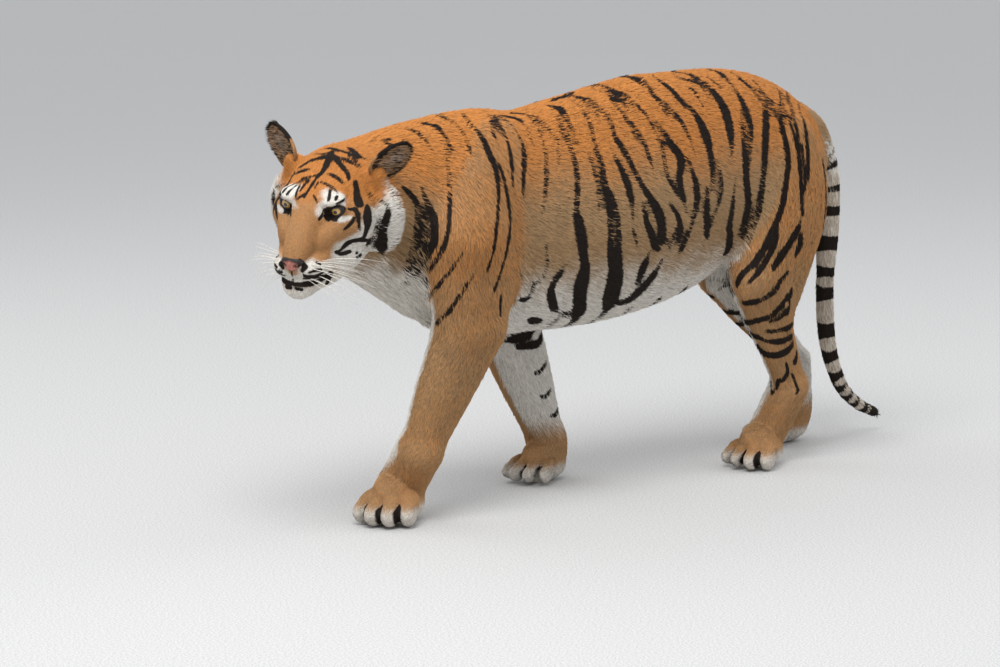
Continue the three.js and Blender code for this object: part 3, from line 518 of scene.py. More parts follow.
def head_flesh():
    def oval(c, r, join, axis=(1, 0, 0)):
        return OnHead(Oval(c, r, join, "head", axis=axis))
    return [
        OnHead(Tube(SKULL, 18, "head")),
        oval((-66, 76, -44), (60, 44, 58), 25),  # cheek muscle
        oval((-14, 44, 22), (34, 32, 16), 14, (1, 0.3, -0.1)),  # brow
        oval((58, 31, -105), (46, 30, 29), 12, (1, -0.1, -0.08)),  # whisker pad
        oval((78, 0, -106), (29, 26, 24), 10),  # middle of the upper lip
        oval((0, 54, -54), (62, 26, 38), 20, (1, -0.4, -0.45)),  # below the eye
        oval((6, 50, -104), (54, 26, 36), 18, (1, -0.3, 0)),  # beside the mouth
        oval((66, 0, -132), (40, 40, 18), 10),  # lower lip
        oval((68, 0, -157), (38, 35, 33), 12),  # chin
        OnHead(Tube(JAW, 20, "head")),
        oval((-100, 0, -110), (100, 70, 66), 30),  # throat
        oval((-132, 108, -60), (52, 62, 92), 25, (1, -0.35, 0)),  # ruff
        oval((-126, 102, 36), (27, 30, 34), 24, (1, -0.25, 0)),  # root of the ear
        oval(EYE + (1, 0, 0), (22, 24, 21), 8)]  # lids


MOUTH = OnHead(Tube([[108, 0, -127, 6, 5, 5], [99, 22, -130, 6, 5, 5], [80, 40, -133, 6, 5, 5],
                     [56, 52, -132, 6, 5, 5], [38, 60, -122, 5, 4, 4]], 3, "head"))
TUBES = {"trunk": Tube(TRUNK, 30, "trunk", cap=40), "neck": Tube(NECK, 60, "neck"),
         "tail": Tube(TAIL, 30, "tail", up=(1, 0, 0), n=5)}
SHAPES = list(TUBES.values())
for side_name, leg in FORE.items():
    SHAPES += foreleg(leg, side_name + "_fore")
for side_name, leg in HIND.items():
    SHAPES += hindleg(leg, side_name + "_hind")
SHAPES += head_flesh()


def join(a, b, k):
    """The smaller of two distances, blended within k of where they are equal."""
    h = np.clip(0.5 + 0.5 * (b - a) / k, 0, 1)
    return b + (a - b) * h - k * h * (1 - h)


def flesh(p, band=90.0):
    """Signed distance to the coat's tips: the shapes joined one after another, each only within
    band millimetres of its box."""
    d = np.full(len(p), 1e3)
    for s in SHAPES:
        near = between(p, s.low - s.join - band, s.high + s.join + band)
        if near.any():
            d[near] = join(d[near], s.distance(p[near]), s.join)
    return d


def eye_opening(q):
    """Millimetres outside the slit of the lids, and from the middle of the eye, in the head's axes.
    The slit is an oval in angle about the eye, wider than it is high, its inner corner the lower."""
    v = on_left(q) - EYE
    a = np.degrees(np.arctan2(v[:, 1], v[:, 0])) - EYE_TURN
    e = np.degrees(np.arctan2(v[:, 2], np.hypot(v[:, 0], v[:, 1]))) - np.tan(np.radians(EYE_SLANT)) * a
    g = np.sqrt((a / EYE_WIDE)**2 + (e / np.where(e > 0, EYE_ABOVE, EYE_BELOW))**2) - 1
    return np.where(v[:, 0] > -4, g * 9, 9.0), np.linalg.norm(v, axis=1)


def coat_depth(p):
    """How far the skin lies below the tips of the coat."""
    q = in_head(p)
    head = step(-q[:, 0], 250, 190) * near_to(q, (-60, 0, -50), 1, 230, 200)
    face = 3.2 + 5 * step(-q[:, 0], 10, 90) + 8 * step(-q[:, 0], 85, 130) * step(np.abs(q[:, 1]), 80, 130)
    face += 7 * step(-q[:, 2], 160, 178) * step(q[:, 0], 20, 50)
    belly = 6 * step(-p[:, 2], -460, -400) * step(p[:, 1], 0, 120) * step(-np.abs(p[:, 0]), -170, -120)
    body = 4.5 + 4 * step(p[:, 2], 250, 450) + belly
    body -= 1.7 * step(-p[:, 2], -110, -60)
    body = body - 3.5 * step(p[:, 1], 1130, 1160) * (np.abs(p[:, 0]) < 50)
    return face * head + body * (1 - head)


def skin(p):
    """Signed distance to the skin: the flesh drawn in, open at the eyes, and cut at the floor."""
    d = flesh(p) + coat_depth(p)
    q = on_left(in_head(p))
    lips = between(q, (20, -1, -150), (np.inf, 75, -105))
    if lips.any():
        d[lips] = -join(-d[lips], MOUTH.distance(p[lips]), 3)
    near = between(q, (-40, 25, -40), (30, 95, 40))
    if near.any():
        g, r = eye_opening(q[near])
        d[near] = -join(-d[near], np.where(r < 40, g, 9), 2.5)
    return np.maximum(d, 0.4 - p[:, 2])


def slope(f, p, h=1.0):
    """Value and gradient of f by its values at the corners of a small tetrahedron."""
    K = np.array([[1, -1, -1], [-1, -1, 1], [-1, 1, -1], [1, 1, 1.0]])
    v = np.stack([f(p + k * h) for k in K], 1)
    return v.mean(1), v @ K / (4 * h)


def settle(f, p, rounds=1):
    """Moves points onto f = 0 along its gradient, at most 5 of its lengths in a round."""
    for _ in range(rounds):
        v, g = slope(f, p)
        p = p - np.clip(v / np.maximum((g * g).sum(1), 0.2), -5, 5)[:, None] * g
    return p


def surface(f, h):
    """Triangles of f = 0. f is sampled on a grid four cells apart, then two, then one, each time
    only where the coarser one says that the surface is near."""
    low = np.array([-260.0, -680, -6 * h])
    n = [int(np.ceil((b - a) / (4 * h))) for a, b in zip(low, (270, 1430, 1010))]
    grid = lambda i, s: low + i * s * h
    g = f(grid(np.argwhere(np.ones([k + 1 for k in n], bool)), 4)).reshape([k + 1 for k in n])
    for s in (2, 1):
        for axis in range(3):
            a = np.moveaxis(g, axis, 0)
            b = np.empty((2 * len(a) - 1,) + a.shape[1:])
            b[::2], b[1::2] = a, (a[1:] + a[:-1]) / 2
            g = np.moveaxis(b, 0, axis)
        g = np.ascontiguousarray(g)
        near = np.argwhere(np.abs(g) < 3.2 * s * h)
        g[tuple(near.T)] = f(grid(near, s))
    volume = openvdb.FloatGrid(background=1e3)
    volume.copyFromArray(g.astype(np.float32))
    points, Q = volume.convertToQuads(0.0)
    P = points * h + low
    short = np.linalg.norm(P[Q[:, 0]] - P[Q[:, 2]], axis=1) < np.linalg.norm(P[Q[:, 1]] - P[Q[:, 3]], axis=1)
    A, B = Q[short], Q[~short]
    return P, np.vstack([A[:, [0, 1, 2]], A[:, [0, 2, 3]], B[:, [0, 1, 3]], B[:, [1, 2, 3]]])


# How a triangle is split, by how many of its edges are cut: 0, 1 and 2 are its corners, 3, 4 and 5
# the middles of the edges that start at them, turned so that the cut edges come first.
SPLITS = {0: [[0, 1, 2]], 3: [[0, 3, 5], [3, 1, 4], [5, 4, 2], [3, 4, 5]],
          1: [[0, 3, 2], [3, 1, 2]], 2: [[3, 1, 4], [0, 3, 4], [0, 4, 2]]}


def refine(P, T, size, rounds):
    """Halves every edge longer than size wants, and splits the triangles on it to match."""
    for _ in range(rounds):
        e = np.sort(np.stack([T, np.roll(T, -1, 1)], 2).reshape(-1, 2), 1)
        key, back = np.unique(e[:, 0] * len(P) + e[:, 1], return_inverse=True)
        a, b = key // len(P), key % len(P)
        middle = (P[a] + P[b]) / 2
        cut = np.linalg.norm(P[a] - P[b], axis=1) > 1.45 * size(middle)
        m = np.where(cut, np.cumsum(cut) - 1 + len(P), -1)[back].reshape(-1, 3)
        P, count, out = np.vstack([P, settle(skin, middle[cut])]), (m >= 0).sum(1), []
        for number, faces in SPLITS.items():
            t, q = T[count == number], m[count == number]
            first = np.argmax(q >= 0, 1) if number == 1 else (np.argmin(q, 1) + 1) % 3
            turn = (first[:, None] * (number in (1, 2)) + np.arange(3)) % 3
            both = np.hstack([np.take_along_axis(t, turn, 1), np.take_along_axis(q, turn, 1)])
            out += [both[:, face] for face in faces]
        T = np.vstack(out)
    return P, T


def skin_size(p):
    """How long the skin's edges may be: short on the face, longer on the paws, longest elsewhere."""
    q = in_head(p)
    ahead = step(q[:, 0], -75, -45) * near_to(q, (10, 0, -60), 1, 190, 150)
    head = step(q[:, 0], -230, -190) * near_to(q, (-60, 0, -50), 1, 240, 215)
    foot = step(-p[:, 2], -100, -80)
    s = SKIN_CELL + (SKIN_CELL / 2 - SKIN_CELL) * np.maximum(head, foot)
    return s + (FACE_CELL - s) * ahead * head


def areas(P, T):
    a, b, c = P[T[:, 0]], P[T[:, 1]], P[T[:, 2]]
    return np.linalg.norm(np.cross(b - a, c - a), axis=1) / 2


def normals(P, T):
    """At each point, the mean of its faces' normals, by their areas."""
    n = np.cross(P[T[:, 1]] - P[T[:, 0]], P[T[:, 2]] - P[T[:, 0]])
    out = np.zeros_like(P)
    for k in range(3):
        for c in range(3):
            out[:, c] += np.bincount(T[:, k], n[:, c], len(P))
    return unit(out)


# ---- the markings -------------------------------------------------------------------------------
def lines(table):
    """The table's lines one by one: its tag, or an empty one, and its points."""
    for row in table.strip().splitlines():
        tag, row = (row[0], row[2:]) if row[:2] in ("= ", "1 ") else ("", row)
        yield tag, np.array([[float(v) for v in point.split()] for point in row.split("  ")])


def near_lines(P, N, table, apart=45.0, thinnest=0.0):
    """Distance from each point to the nearest mark less its half width, measured along the skin:
    the part of the offset that runs along the normal N is left out."""
    best = np.full(len(P), REACH)
    for _, line in table:
        L = smooth_curve(line, 4)
        L[:, 3] = np.maximum(L[:, 3], thinnest)
        wide = L[:, 3].max() + REACH
        ids = np.flatnonzero(between(P, L[:, :3].min(0) - wide, L[:, :3].max(0) + wide))
        if not len(ids):
            continue
        p, n, d = P[ids], N[ids], np.full(len(ids), REACH)
        ends = zip(L[:-1], L[1:]) if len(L) > 1 else [(L[0], L[0])]
        for a, b in ends:
            ab = b[:3] - a[:3]
            t = np.clip((p - a[:3]) @ ab / max(ab @ ab, 1e-6), 0, 1)
            q = p - a[:3] - t[:, None] * ab
            h = (q * n).sum(1)
            q = q - n * h[:, None]
            dd = np.sqrt((q * q).sum(1)) - (a[3] + (b[3] - a[3]) * t)
            d = np.minimum(d, np.where(np.abs(h) < apart, dd, REACH))
        best[ids] = np.minimum(best[ids], d)
    return best


def leg_place(P, leg, names):
    """Place down the leg, counted in bones, angle round it (0 in front, 90 outside), bone's length."""
    J, s = np.array([leg[n] for n in names], float), leg["side"]
    best, out = np.full(len(P), 1e9), np.zeros((len(P), 3))
    for k, (a, b) in enumerate(zip(J[:-1], J[1:])):
        ab = b - a
        L = np.linalg.norm(ab)
        t = np.clip((P - a) @ ab / L**2, 0 if k else -0.5, 1 if k < len(J) - 2 else 1.3)
        q = P - a - t[:, None] * ab
        d, T = np.linalg.norm(q, axis=1), ab / L
        F = unit(np.array([0, -1, 0.0]) + T * T[1])
        O = np.array([s, 0, 0.0]) - T * T[0] * s
        O = unit(O - F * (O @ F))
        near = d < best
        best[near] = d[near]
        out[near] = np.stack([k + t, np.degrees(np.arctan2(q @ O, q @ F)), np.full(len(P), L)], 1)[near]
    return out


def leg_marks(place, table):
    """The same on a leg, in its unrolled skin: millimetres down it and round it. The leg counts as
    58 mm in radius all the way down."""
    best, arc = np.full(len(place), REACH), 58.0
    x, y = place[:, 0] * place[:, 2], place[:, 1]
    for _, line in table:
        line = line.copy()
        line[:, 1] = np.degrees(np.unwrap(np.radians(line[:, 1])))
        L = smooth_curve(line, 4)
        for turn in (-360, 0, 360):
            for a, b in zip(L[:-1], L[1:]):
                ax, bx = a[0] * place[:, 2], b[0] * place[:, 2]
                ay, by = (a[1] + turn) * arc * np.pi / 180, (b[1] + turn) * arc * np.pi / 180
                ux, uy = bx - ax, by - ay
                qx, qy = x - ax, y * arc * np.pi / 180 - ay
                t = np.clip((qx * ux + qy * uy) / np.maximum(ux * ux + uy * uy, 1e-6), 0, 1)
                best = np.minimum(best, np.hypot(qx - t * ux, qy - t * uy) - (a[2] + (b[2] - a[2]) * t))
    return best


HEAD_LINES, BODY_LINES = list(lines(HEAD_MARKS)), list(lines(BODY_MARKS))
HIND_LINES, FORE_LINES = list(lines(HIND_MARKS)), list(lines(FORE_MARKS))
PARTS = ["trunk", "neck", "head", "tail", "left_fore", "right_fore", "left_hind", "right_hind"]
ON_TRUNK, ON_NECK, ON_HEAD, ON_TAIL, ON_FORE, _, ON_HIND, _ = range(8)  # a leg is ON_FORE or more
LEGS = [(ON_FORE, FORE["left"], FORE_BONES, FORE_LINES), (ON_FORE + 1, FORE["right"], FORE_BONES, FORE_LINES),
        (ON_HIND, HIND["left"], HIND_BONES, HIND_LINES), (ON_HIND + 1, HIND["right"], HIND_BONES, HIND_LINES)]


def part_of(P):
    """Which part's flesh each point is nearest, as an index into PARTS, and the distances."""
    d = np.full((len(P), len(PARTS)), 300.0)
    for s in SHAPES:
        k = PARTS.index(s.part)
        near = between(P, s.low - 60, s.high + 60)
        if near.any():
            d[near, k] = np.minimum(d[near, k], s.distance(P[near]))
    return d.argmin(1), d


def marks(P, N, parts):
    """Signed millimetres to the edge of the nearest dark mark. The right side has the marks of the
    left one, shifted along the body by a slow wave so that the sides differ."""
    other = P[:, 0] < 0
    Q, M = P.copy(), N.copy()
    Q[:, 0], M[:, 0] = np.abs(Q[:, 0]), np.where(other, -M[:, 0], M[:, 0])
    Q[:, 1] += np.where(other, 13 * np.sin(P[:, 2] / 55 + 1) + 9 * np.sin(P[:, 1] / 70), 0)
    out = np.full(len(P), REACH)
    head, tail = parts == ON_HEAD, parts == ON_TAIL
    low_leg = (parts >= ON_FORE) & (P[:, 2] < 400)
    body = ~tail & ~head & ~low_leg & (M[:, 0] > -0.35)
    out[body] = near_lines(Q[body], M[body], BODY_LINES, apart=38, thinnest=2.6)
    q, n = in_head(P[head]), N[head] @ HEAD
    single, double = ([line for line in HEAD_LINES if line[0] == tag] for tag in "1=")
    single = near_lines(q, n, single)
    q[:, 1], n[:, 1] = np.abs(q[:, 1]), n[:, 1] * np.sign(q[:, 1] + 1e-9)
    out[head] = np.minimum(single, near_lines(q, n, double, apart=30))
    _, run, _ = TUBES["tail"].along(P[tail])
    start = TUBES["tail"].along(np.array([[-2.0, 1164, 712]]))[1][0]
    ring = np.min([np.abs(run - start - c) - w for c, w in TAIL_RINGS], 0)
    out[tail] = np.minimum(REACH, ring + 3 * np.sin(P[tail, 0] / 12))
    for part, leg, bones, table in LEGS:
        on = (parts == part) & (P[:, 2] > 70)
        place = leg_place(P[on], leg, bones)
        m = leg_marks(place, table)
        if part >= ON_HIND:  # the bands run on over the inside, thinner
            inner = place.copy()
            inner[:, 1], inner[:, 0] = -inner[:, 1], inner[:, 0] + 0.04
            m = np.minimum(m, leg_marks(inner, table) + 2.5 + 3 * step(-P[on, 2], -420, -380))
        out[on] = np.minimum(out[on], m)
    # painted shade: the creases between the toes are darkened as if they were dark marks
    for part, leg, _, _ in LEGS:  # the gaps between the toes
        on = (parts == part) & (P[:, 2] < 70)
        v = (P[on] - leg["paw"]) / leg["size"]
        f, l = (v @ axis for axis in paw_axes(leg))
        shade_between_toes = np.min([np.abs(l - g * (0.75 + f / 190)) for g in (-31, -1, 30)], 0) - 3.6
        out[on] = np.where(f > 22, shade_between_toes + 8 * step(v[:, 2], 34, 50) + 4 * step(-f, -36, -24), REACH)
    g, r = eye_opening(in_head(P[head]))
    out[head] = np.minimum(out[head], np.where(r < 34, g - 2.2, REACH))
    wobble = 2.2 * np.sin(P @ [0.11, 0.07, 0.05]) + 1.5 * np.sin(P @ [-0.06, 0.13, 0.17])
    return out - np.where(head, 1.2, 2.2) + 0.3 * wobble


def paleness(P, N, parts):
    """0 where the coat is orange, 1 where it is white."""
    x, y, z = P.T
    n = 14 * np.sin(x / 31 + y / 23) * np.sin(z / 27 - y / 41)
    belly = 0.85 * step(-(z + n), -630, -420)
    belly = np.maximum(belly, step(-N[:, 2], 0.35, 0.75))
    groin = near_to(P, (0, 745, 470), (1.6, 1, 0.75), 125, 60) * step(-z, -560, -500)
    elbow = near_to(P, (0, 118, 380), (1.9, 1, 1.2), 85, 45)
    trunk = np.maximum(np.maximum(belly, groin), elbow)
    chest = step(-(y + n), 95, 190) * step(-(z + n), -660, -540)
    throat = step(-(z + 0.25 * y + n), -560, -470) * step(-y, 60, 130)
    neck = np.maximum(0.5 * chest, 0.85 * throat)
    inner = step(-N[:, 0] * np.where(x > 0, 1, -1), 0.0, 0.5)
    fore = np.maximum(inner * step(-z, -620, -520) * step(z, 70, 190), 0.75 * step(-z, -62, -28))
    hind = np.maximum(inner * step(-z, -560, -460) * step(z, 60, 150), 0.75 * step(-z, -58, -26))
    hind = np.maximum(hind, 0.75 * groin)
    q = in_head(P)
    qa, warp = on_left(q), 5 * np.sin(q / 9 + np.roll(q, 1, 1) / 13)
    eye = qa - EYE
    under = near_to(qa, EYE, 1, 38, 30) * step(-eye[:, 2] - 0.25 * eye[:, 1], 3, 9)
    orange = 1 - 0.9 * under
    for f, l, u, r, s in PALE_HEAD:
        orange *= 1 - s * step(-np.linalg.norm(qa - (f, l, u) + warp, axis=1), -1.25 * r, -0.4 * r)
    tail = 0.55 * step(-z, -790, -730) + 0.25 * step(z, 650, 690) * step(-z, -760, -720)
    where = [parts == ON_TRUNK, parts == ON_NECK, parts == ON_HEAD, parts == ON_TAIL, parts < ON_HIND]
    out = np.select(where, [trunk, neck, 1 - orange, tail, fore], hind)
    blend = step(-y, -130, 60) * (parts == ON_TRUNK)
    return np.clip(out * (1 - blend) + np.maximum(out, neck) * blend, 0, 1)


def warmth(P, N, parts):
    """1 where the orange is bright, along the back and the crown, 0 where it is a dull tan."""
    q = in_head(P)
    body = step(P[:, 2] + 60 * N[:, 2] + 10 * np.sin(P[:, 1] / 37), 640, 900)
    body = np.maximum(body, 0.8 * near_to(P, (170, -60, 640), (1, 0.8, 1.3), 150, 50))
    legs = np.maximum(0.3 + 0.2 * step(P[:, 2], 380, 640), 0.6 * body)
    head = 0.42 + 0.58 * step(q[:, 2] - 0.3 * q[:, 0], 0, 45)
    where = [parts == ON_HEAD, parts == ON_TAIL, parts >= ON_FORE]
    return np.clip(np.select(where, [head, 0 * body, legs], body), 0, 1)


# ---- the lie of the coat ------------------------------------------------------------------------
def bone_way(P, leg, names):
    """The direction of the nearest bone, and past the last joint that of the toes."""
    J = [np.array(leg[n], float) + (0, 0, 40 if n == "paw" else 0) for n in names]
    J.append(J[-1] + 120 * (paw_axes(leg)[0] + (0, 0, -0.25)))
    best, way = np.full(len(P), 1e9), np.zeros((len(P), 3))
    for a, b in zip(J[:-1], J[1:]):
        ab = b - a
        t = np.clip((P - a) @ ab / (ab @ ab), 0, 1)
        d = np.linalg.norm(P - a - t[:, None] * ab, axis=1)
        near = d < best
        best[near], way[near] = d[near], unit(ab)
    return way


def lie(P, N, d):
    """The way the coat lies: every part has its own, and where parts meet the ways are mixed by
    how near each is. What points along the normal is taken out."""
    q = in_head(P)
    from_nose = q - (112, 0, -70) - np.outer(step(-q[:, 0], 60, 160), (0, 0, 60))
    ways = [np.broadcast_to([0, 1, -0.42], P.shape), np.broadcast_to([0, 0.8, -0.6], P.shape),
            unit(from_nose) @ HEAD.T, TUBES["tail"].along(P)[0]]
    ways += [bone_way(P, leg, bones) for _, leg, bones, _ in LEGS]
    w = np.exp(-(d - d.min(1, keepdims=True)) / 16)
    f = sum(w[:, k:k + 1] * way for k, way in enumerate(ways))
    f = f - N * (f * N).sum(1)[:, None]
    return unit(f + 1e-6)


def hair_size(P, N, parts):
    """Length and width of a tuft."""
    q = in_head(P)
    qa = np.abs(q[:, 1])
    long = np.full(len(P), 21.0)
    wide = np.full(len(P), 3.2)
    belly = step(-N[:, 2], 0.2, 0.8) * step(-P[:, 2], -480, -400) * (parts < ON_HEAD)
    groin = near_to(P, (0, 745, 430), (1.7, 1, 0.8), 110, 50)
    chest = near_to(P, (0, 120, 380), (1.8, 0.9, 1), 90, 40)
    throat = step(-P[:, 1], 120, 260) * step(-N[:, 2], -0.2, 0.5) * (parts == ON_NECK)
    long = long + 16 * np.maximum(np.maximum(belly, groin), np.maximum(chest, throat))
    legs, tail, head = parts >= ON_FORE, parts == ON_TAIL, parts == ON_HEAD
    low = step(-P[:, 2], -520, -330)
    long = np.where(legs, long - (long - 14) * low, long)
    long = np.where(legs, long - (long - 7.5) * step(-P[:, 2], -115, -70), long)
    wide = np.where(legs, 3.2 - 0.9 * low - 0.5 * step(-P[:, 2], -115, -70), wide)
    long, wide = np.where(tail, 17, long), np.where(tail, 3.0, wide)
    back = step(-q[:, 0], -40, 110)
    face = 5.5 + 8 * back + 20 * step(-q[:, 0], 70, 130) * step(qa, 70, 120) * step(-q[:, 2], -60, 20)
    face = face + 10 * step(-q[:, 2], 165, 180) * step(q[:, 0], 10, 40)
    face = face * (0.55 + 0.45 * step(np.linalg.norm(on_left(q) - EYE, axis=1), 22, 42))
    return np.where(head, face, long), np.where(head, 1.5 + 1.1 * back, wide)


# Where each part's unrolled skin lies in the unit square: left, bottom, width, height.
TILES = np.array([
    (0, 0, 0.5, 0.6), (0.5, 0, 0.5, 0.2), (0, 0.62, 0.5, 0.37), (0.52, 0.9, 0.45, 0.09),
    (0.52, 0.22, 0.23, 0.33), (0.76, 0.22, 0.23, 0.33), (0.52, 0.56, 0.23, 0.33), (0.76, 0.56, 0.23, 0.33)])


def unroll(P, parts):
    """Where each point lies when the skin is laid flat: every part unrolled about its own length
    into its tile."""
    turns = lambda a, b: np.arctan2(a, b) / (2 * np.pi) + 0.5
    x, y, z = P.T
    out = np.stack([turns(x, z - 620), (y + 320) / 1500], 1)
    h, t = parts == ON_HEAD, parts == ON_TAIL
    q = in_head(P[h]) - (-60, 0, -60)
    rise = np.arcsin(np.clip(q[:, 2] / np.linalg.norm(q, axis=1), -1, 1)) / np.pi + 0.5
    out[h] = np.stack([turns(q[:, 1], q[:, 0]), rise], 1)
    out[t] = np.stack([TUBES["tail"].along(P[t])[1] / 900, turns(x[t], y[t] - 1180)], 1)
    for part, leg, bones, _ in LEGS:
        on = parts == part
        place = leg_place(P[on], leg, bones)
        out[on] = np.stack([place[:, 1] / 360 + 0.5, (place[:, 0] + 0.5) / 4], 1)
    tile = TILES[parts]
    return tile[:, :2] + np.clip(out, 0, 1) * tile[:, 2:]


# ---- making pieces ------------------------------------------------------------------------------
def piece(name, P, T, material, values=None, soft=None, uv=None):
    """A mesh from points in the animal's frame and faces, with its attributes. Hair that would reach
    past the box of the flesh stops at it."""
    me = bpy.data.meshes.new(name)
    me.vertices.add(len(P))
    inside = np.clip((P - ORIGIN) / 1000, np.array(cad_low) + 1e-4, np.array(cad_high) - 1e-4)
    me.vertices.foreach_set("co", inside.astype(np.float32).ravel())
    me.loops.add(T.size)
    me.loops.foreach_set("vertex_index", T.astype(np.int32).ravel())
    me.polygons.add(len(T))
    me.polygons.foreach_set("loop_start", np.arange(len(T), dtype=np.int32) * T.shape[1])
    me.update(calc_edges=True)
    me.polygons.foreach_set("use_smooth", np.full(len(T), True))
    for key, v in (values or {}).items():
        me.attributes.new(key, "FLOAT", "POINT").data.foreach_set("value", v.astype(np.float32))
    if uv is not None:
        me.uv_layers.new(name="OFBake").data.foreach_set("uv", uv.astype(np.float32).ravel())
    me.materials.append(material)
    if soft is not None:
        me.normals_split_custom_set_from_vertices(soft.astype(np.float32))
    ob = bpy.data.objects.new(name, me)
    bpy.context.scene.collection.objects.link(ob)
    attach(ob, "root")
    return ob


# A tuft's points are the two ends of its root, its ridge and its tip.
TUFT_FACES = np.array([[1, 3, 2], [0, 2, 3], [0, 1, 2], [0, 3, 1]])
TUFT_UV = np.array([[-0.0015, -0.0015], [0.0015, -0.0015], [0, -0.0002], [0, 0.0015]])
TUFT_ALONG = [0, 0, 0.35, 1.0]


def tufts(root, N, way, long, wide, high):
    """Thin closed spikes: a broad root across the lie, a ridge a quarter of the way along and a
    point at the end. Gives points and soft normals."""
    column = lambda v: np.asarray(v).reshape(-1, 1)
    long, wide, high = column(long), column(wide), column(high)
    side = unit(np.cross(N, way))
    base = root - 0.4 * N
    ridge = root + way * long * 0.3 + N * (wide * 0.22 + high * 0.45)
    tip = root + way * long + N * high
    P = np.stack([base + side * wide / 2, base - side * wide / 2, ridge, tip], 1)
    soft = np.stack([unit(N + 0.45 * side), unit(N - 0.45 * side), N, unit(N + 0.1 * way)], 1)
    return P.reshape(-1, 3), soft.reshape(-1, 3)


def tuft_faces(count):
    return (TUFT_FACES[None] + 4 * np.arange(count)[:, None, None]).reshape(-1, 3)


def tuft_uv(place):
    """A small triangle of the flat coat about each tuft's place, for every corner of its faces."""
    return (place[:, None, None] + TUFT_UV[TUFT_FACES][None]).reshape(-1, 2)


def wrapped(rows, columns):
    """Two triangles for each cell of a grid of points whose last column meets its first."""
    i, j = np.arange(rows - 1)[:, None] * columns, np.arange(columns)[None]
    k = (j + 1) % columns
    quads = np.stack([i + j, i + k, i + columns + k, i + columns + j], 2).reshape(-1, 4)
    return np.vstack([quads[:, [0, 1, 2]], quads[:, [0, 2, 3]]])


def closed(P, T):
    """Merges points that coincide, drops the faces that this empties, and turns the rest outwards."""
    _, first, back = np.unique(np.round(P, 3), axis=0, return_index=True, return_inverse=True)
    P, T = P[first], back.reshape(-1)[T]
    T = T[(T[:, 0] != T[:, 1]) & (T[:, 1] != T[:, 2]) & (T[:, 2] != T[:, 0])]
    a, b, c = (P[T[:, k]] - P.mean(0) for k in range(3))
    return P, T if (a * np.cross(b, c)).sum() > 0 else T[:, ::-1]


def tube(line, radii, sides):
    """A tapered tube along a line of points, its ends closed by points."""
    L, r = np.asarray(line, float), np.asarray(radii, float)[:, None, None]
    T = unit(np.gradient(L, axis=0))
    U = unit(np.cross(T, [0.31, 0.22, 0.92]))
    V = np.cross(T, U)
    a = (np.arange(sides) * 2 * np.pi / sides)[None, :, None]
    ring = L[:, None] + r * (U[:, None] * np.cos(a) + V[:, None] * np.sin(a))
    n, j = len(L), np.arange(sides)
    k = (j + 1) % sides
    ends = np.vstack([np.stack([k, j, np.full(sides, n * sides)], 1),
                      np.stack([(n - 1) * sides + j, (n - 1) * sides + k, np.full(sides, n * sides + 1)], 1)])
    return np.vstack([ring.reshape(-1, 3), L[:1], L[-1:]]), np.vstack([wrapped(n, sides), ends])


def gather(pieces):
    """Joins several (points, faces) into one."""
    start = np.cumsum([0] + [len(p) for p, _ in pieces])
    return np.vstack([p for p, _ in pieces]), np.vstack([t + s for (_, t), s in zip(pieces, start)])


# ---- materials ----------------------------------------------------------------------------------
def linear(r, g, b):
    """A colour by its linear values, opaque."""
    return (r, g, b, 1)


TAN, ORANGE, WHITE = linear(0.40, 0.25, 0.125), linear(0.57, 0.22, 0.055), linear(0.78, 0.735, 0.66)
BLACK = linear(0.010, 0.008, 0.007)
COAT_VALUES = ("mark", "pale", "tone", "along", "chance")


class Nodes:
    """Short words for building a node tree."""

    def __init__(self, tree):
        self.tree = tree

    def add(self, kind, **settings):
        node = self.tree.nodes.new(kind)
        for key, value in settings.items():
            setattr(node, key, value)
        return node

    def put(self, socket, value):
        if isinstance(value, bpy.types.NodeSocket):
            self.tree.links.new(value, socket)
        else:
            socket.default_value = value

    def value(self, name):
        return self.add("ShaderNodeAttribute", attribute_name=name).outputs["Fac"]

    def sum(self, kind, a, b):
        node = self.add("ShaderNodeMath", operation=kind)
        for socket, v in zip(node.inputs, (a, b)):
            self.put(socket, v)
        return node.outputs[0]

    def vary(self, a, b, much):
        """a, plus how far b is above one half, times much."""
        return self.sum("ADD", a, self.sum("MULTIPLY", self.sum("SUBTRACT", b, 0.5), much))

    def span(self, v, low, high, to_low=0.0, to_high=1.0):
        node = self.add("ShaderNodeMapRange", interpolation_type="SMOOTHSTEP")
        names = ("Value", "From Min", "From Max", "To Min", "To Max")
        for key, x in zip(names, (v, low, high, to_low, to_high)):
            self.put(node.inputs[key], x)
        return node.outputs["Result"]

    def blend(self, t, a, b, kind="MIX"):
        node = self.add("ShaderNodeMix", data_type="RGBA", blend_type=kind)
        for k, x in ((0, t), (6, a), (7, b)):
            self.put(node.inputs[k], x)
        return node.outputs[2]

    def noise(self, scale, detail=3.0):
        place = self.add("ShaderNodeTexCoord").outputs["Object"]
        node = self.add("ShaderNodeTexNoise")
        self.put(node.inputs["Vector"], place)
        self.put(node.inputs["Scale"], scale)
        self.put(node.inputs["Detail"], detail)
        return node.outputs["Fac"]

    def bump(self, shader, height, strength, distance):
        node = self.add("ShaderNodeBump")
        node.inputs["Strength"].default_value = strength
        node.inputs["Distance"].default_value = distance
        self.put(node.inputs["Height"], height)
        self.put(shader.inputs["Normal"], node.outputs["Normal"])


def new_material(name):
    """A material, the words for its nodes, and its shader."""
    mat = bpy.data.materials.new(name)
    mat.use_nodes = True
    return mat, Nodes(mat.node_tree), mat.node_tree.nodes["Principled BSDF"]


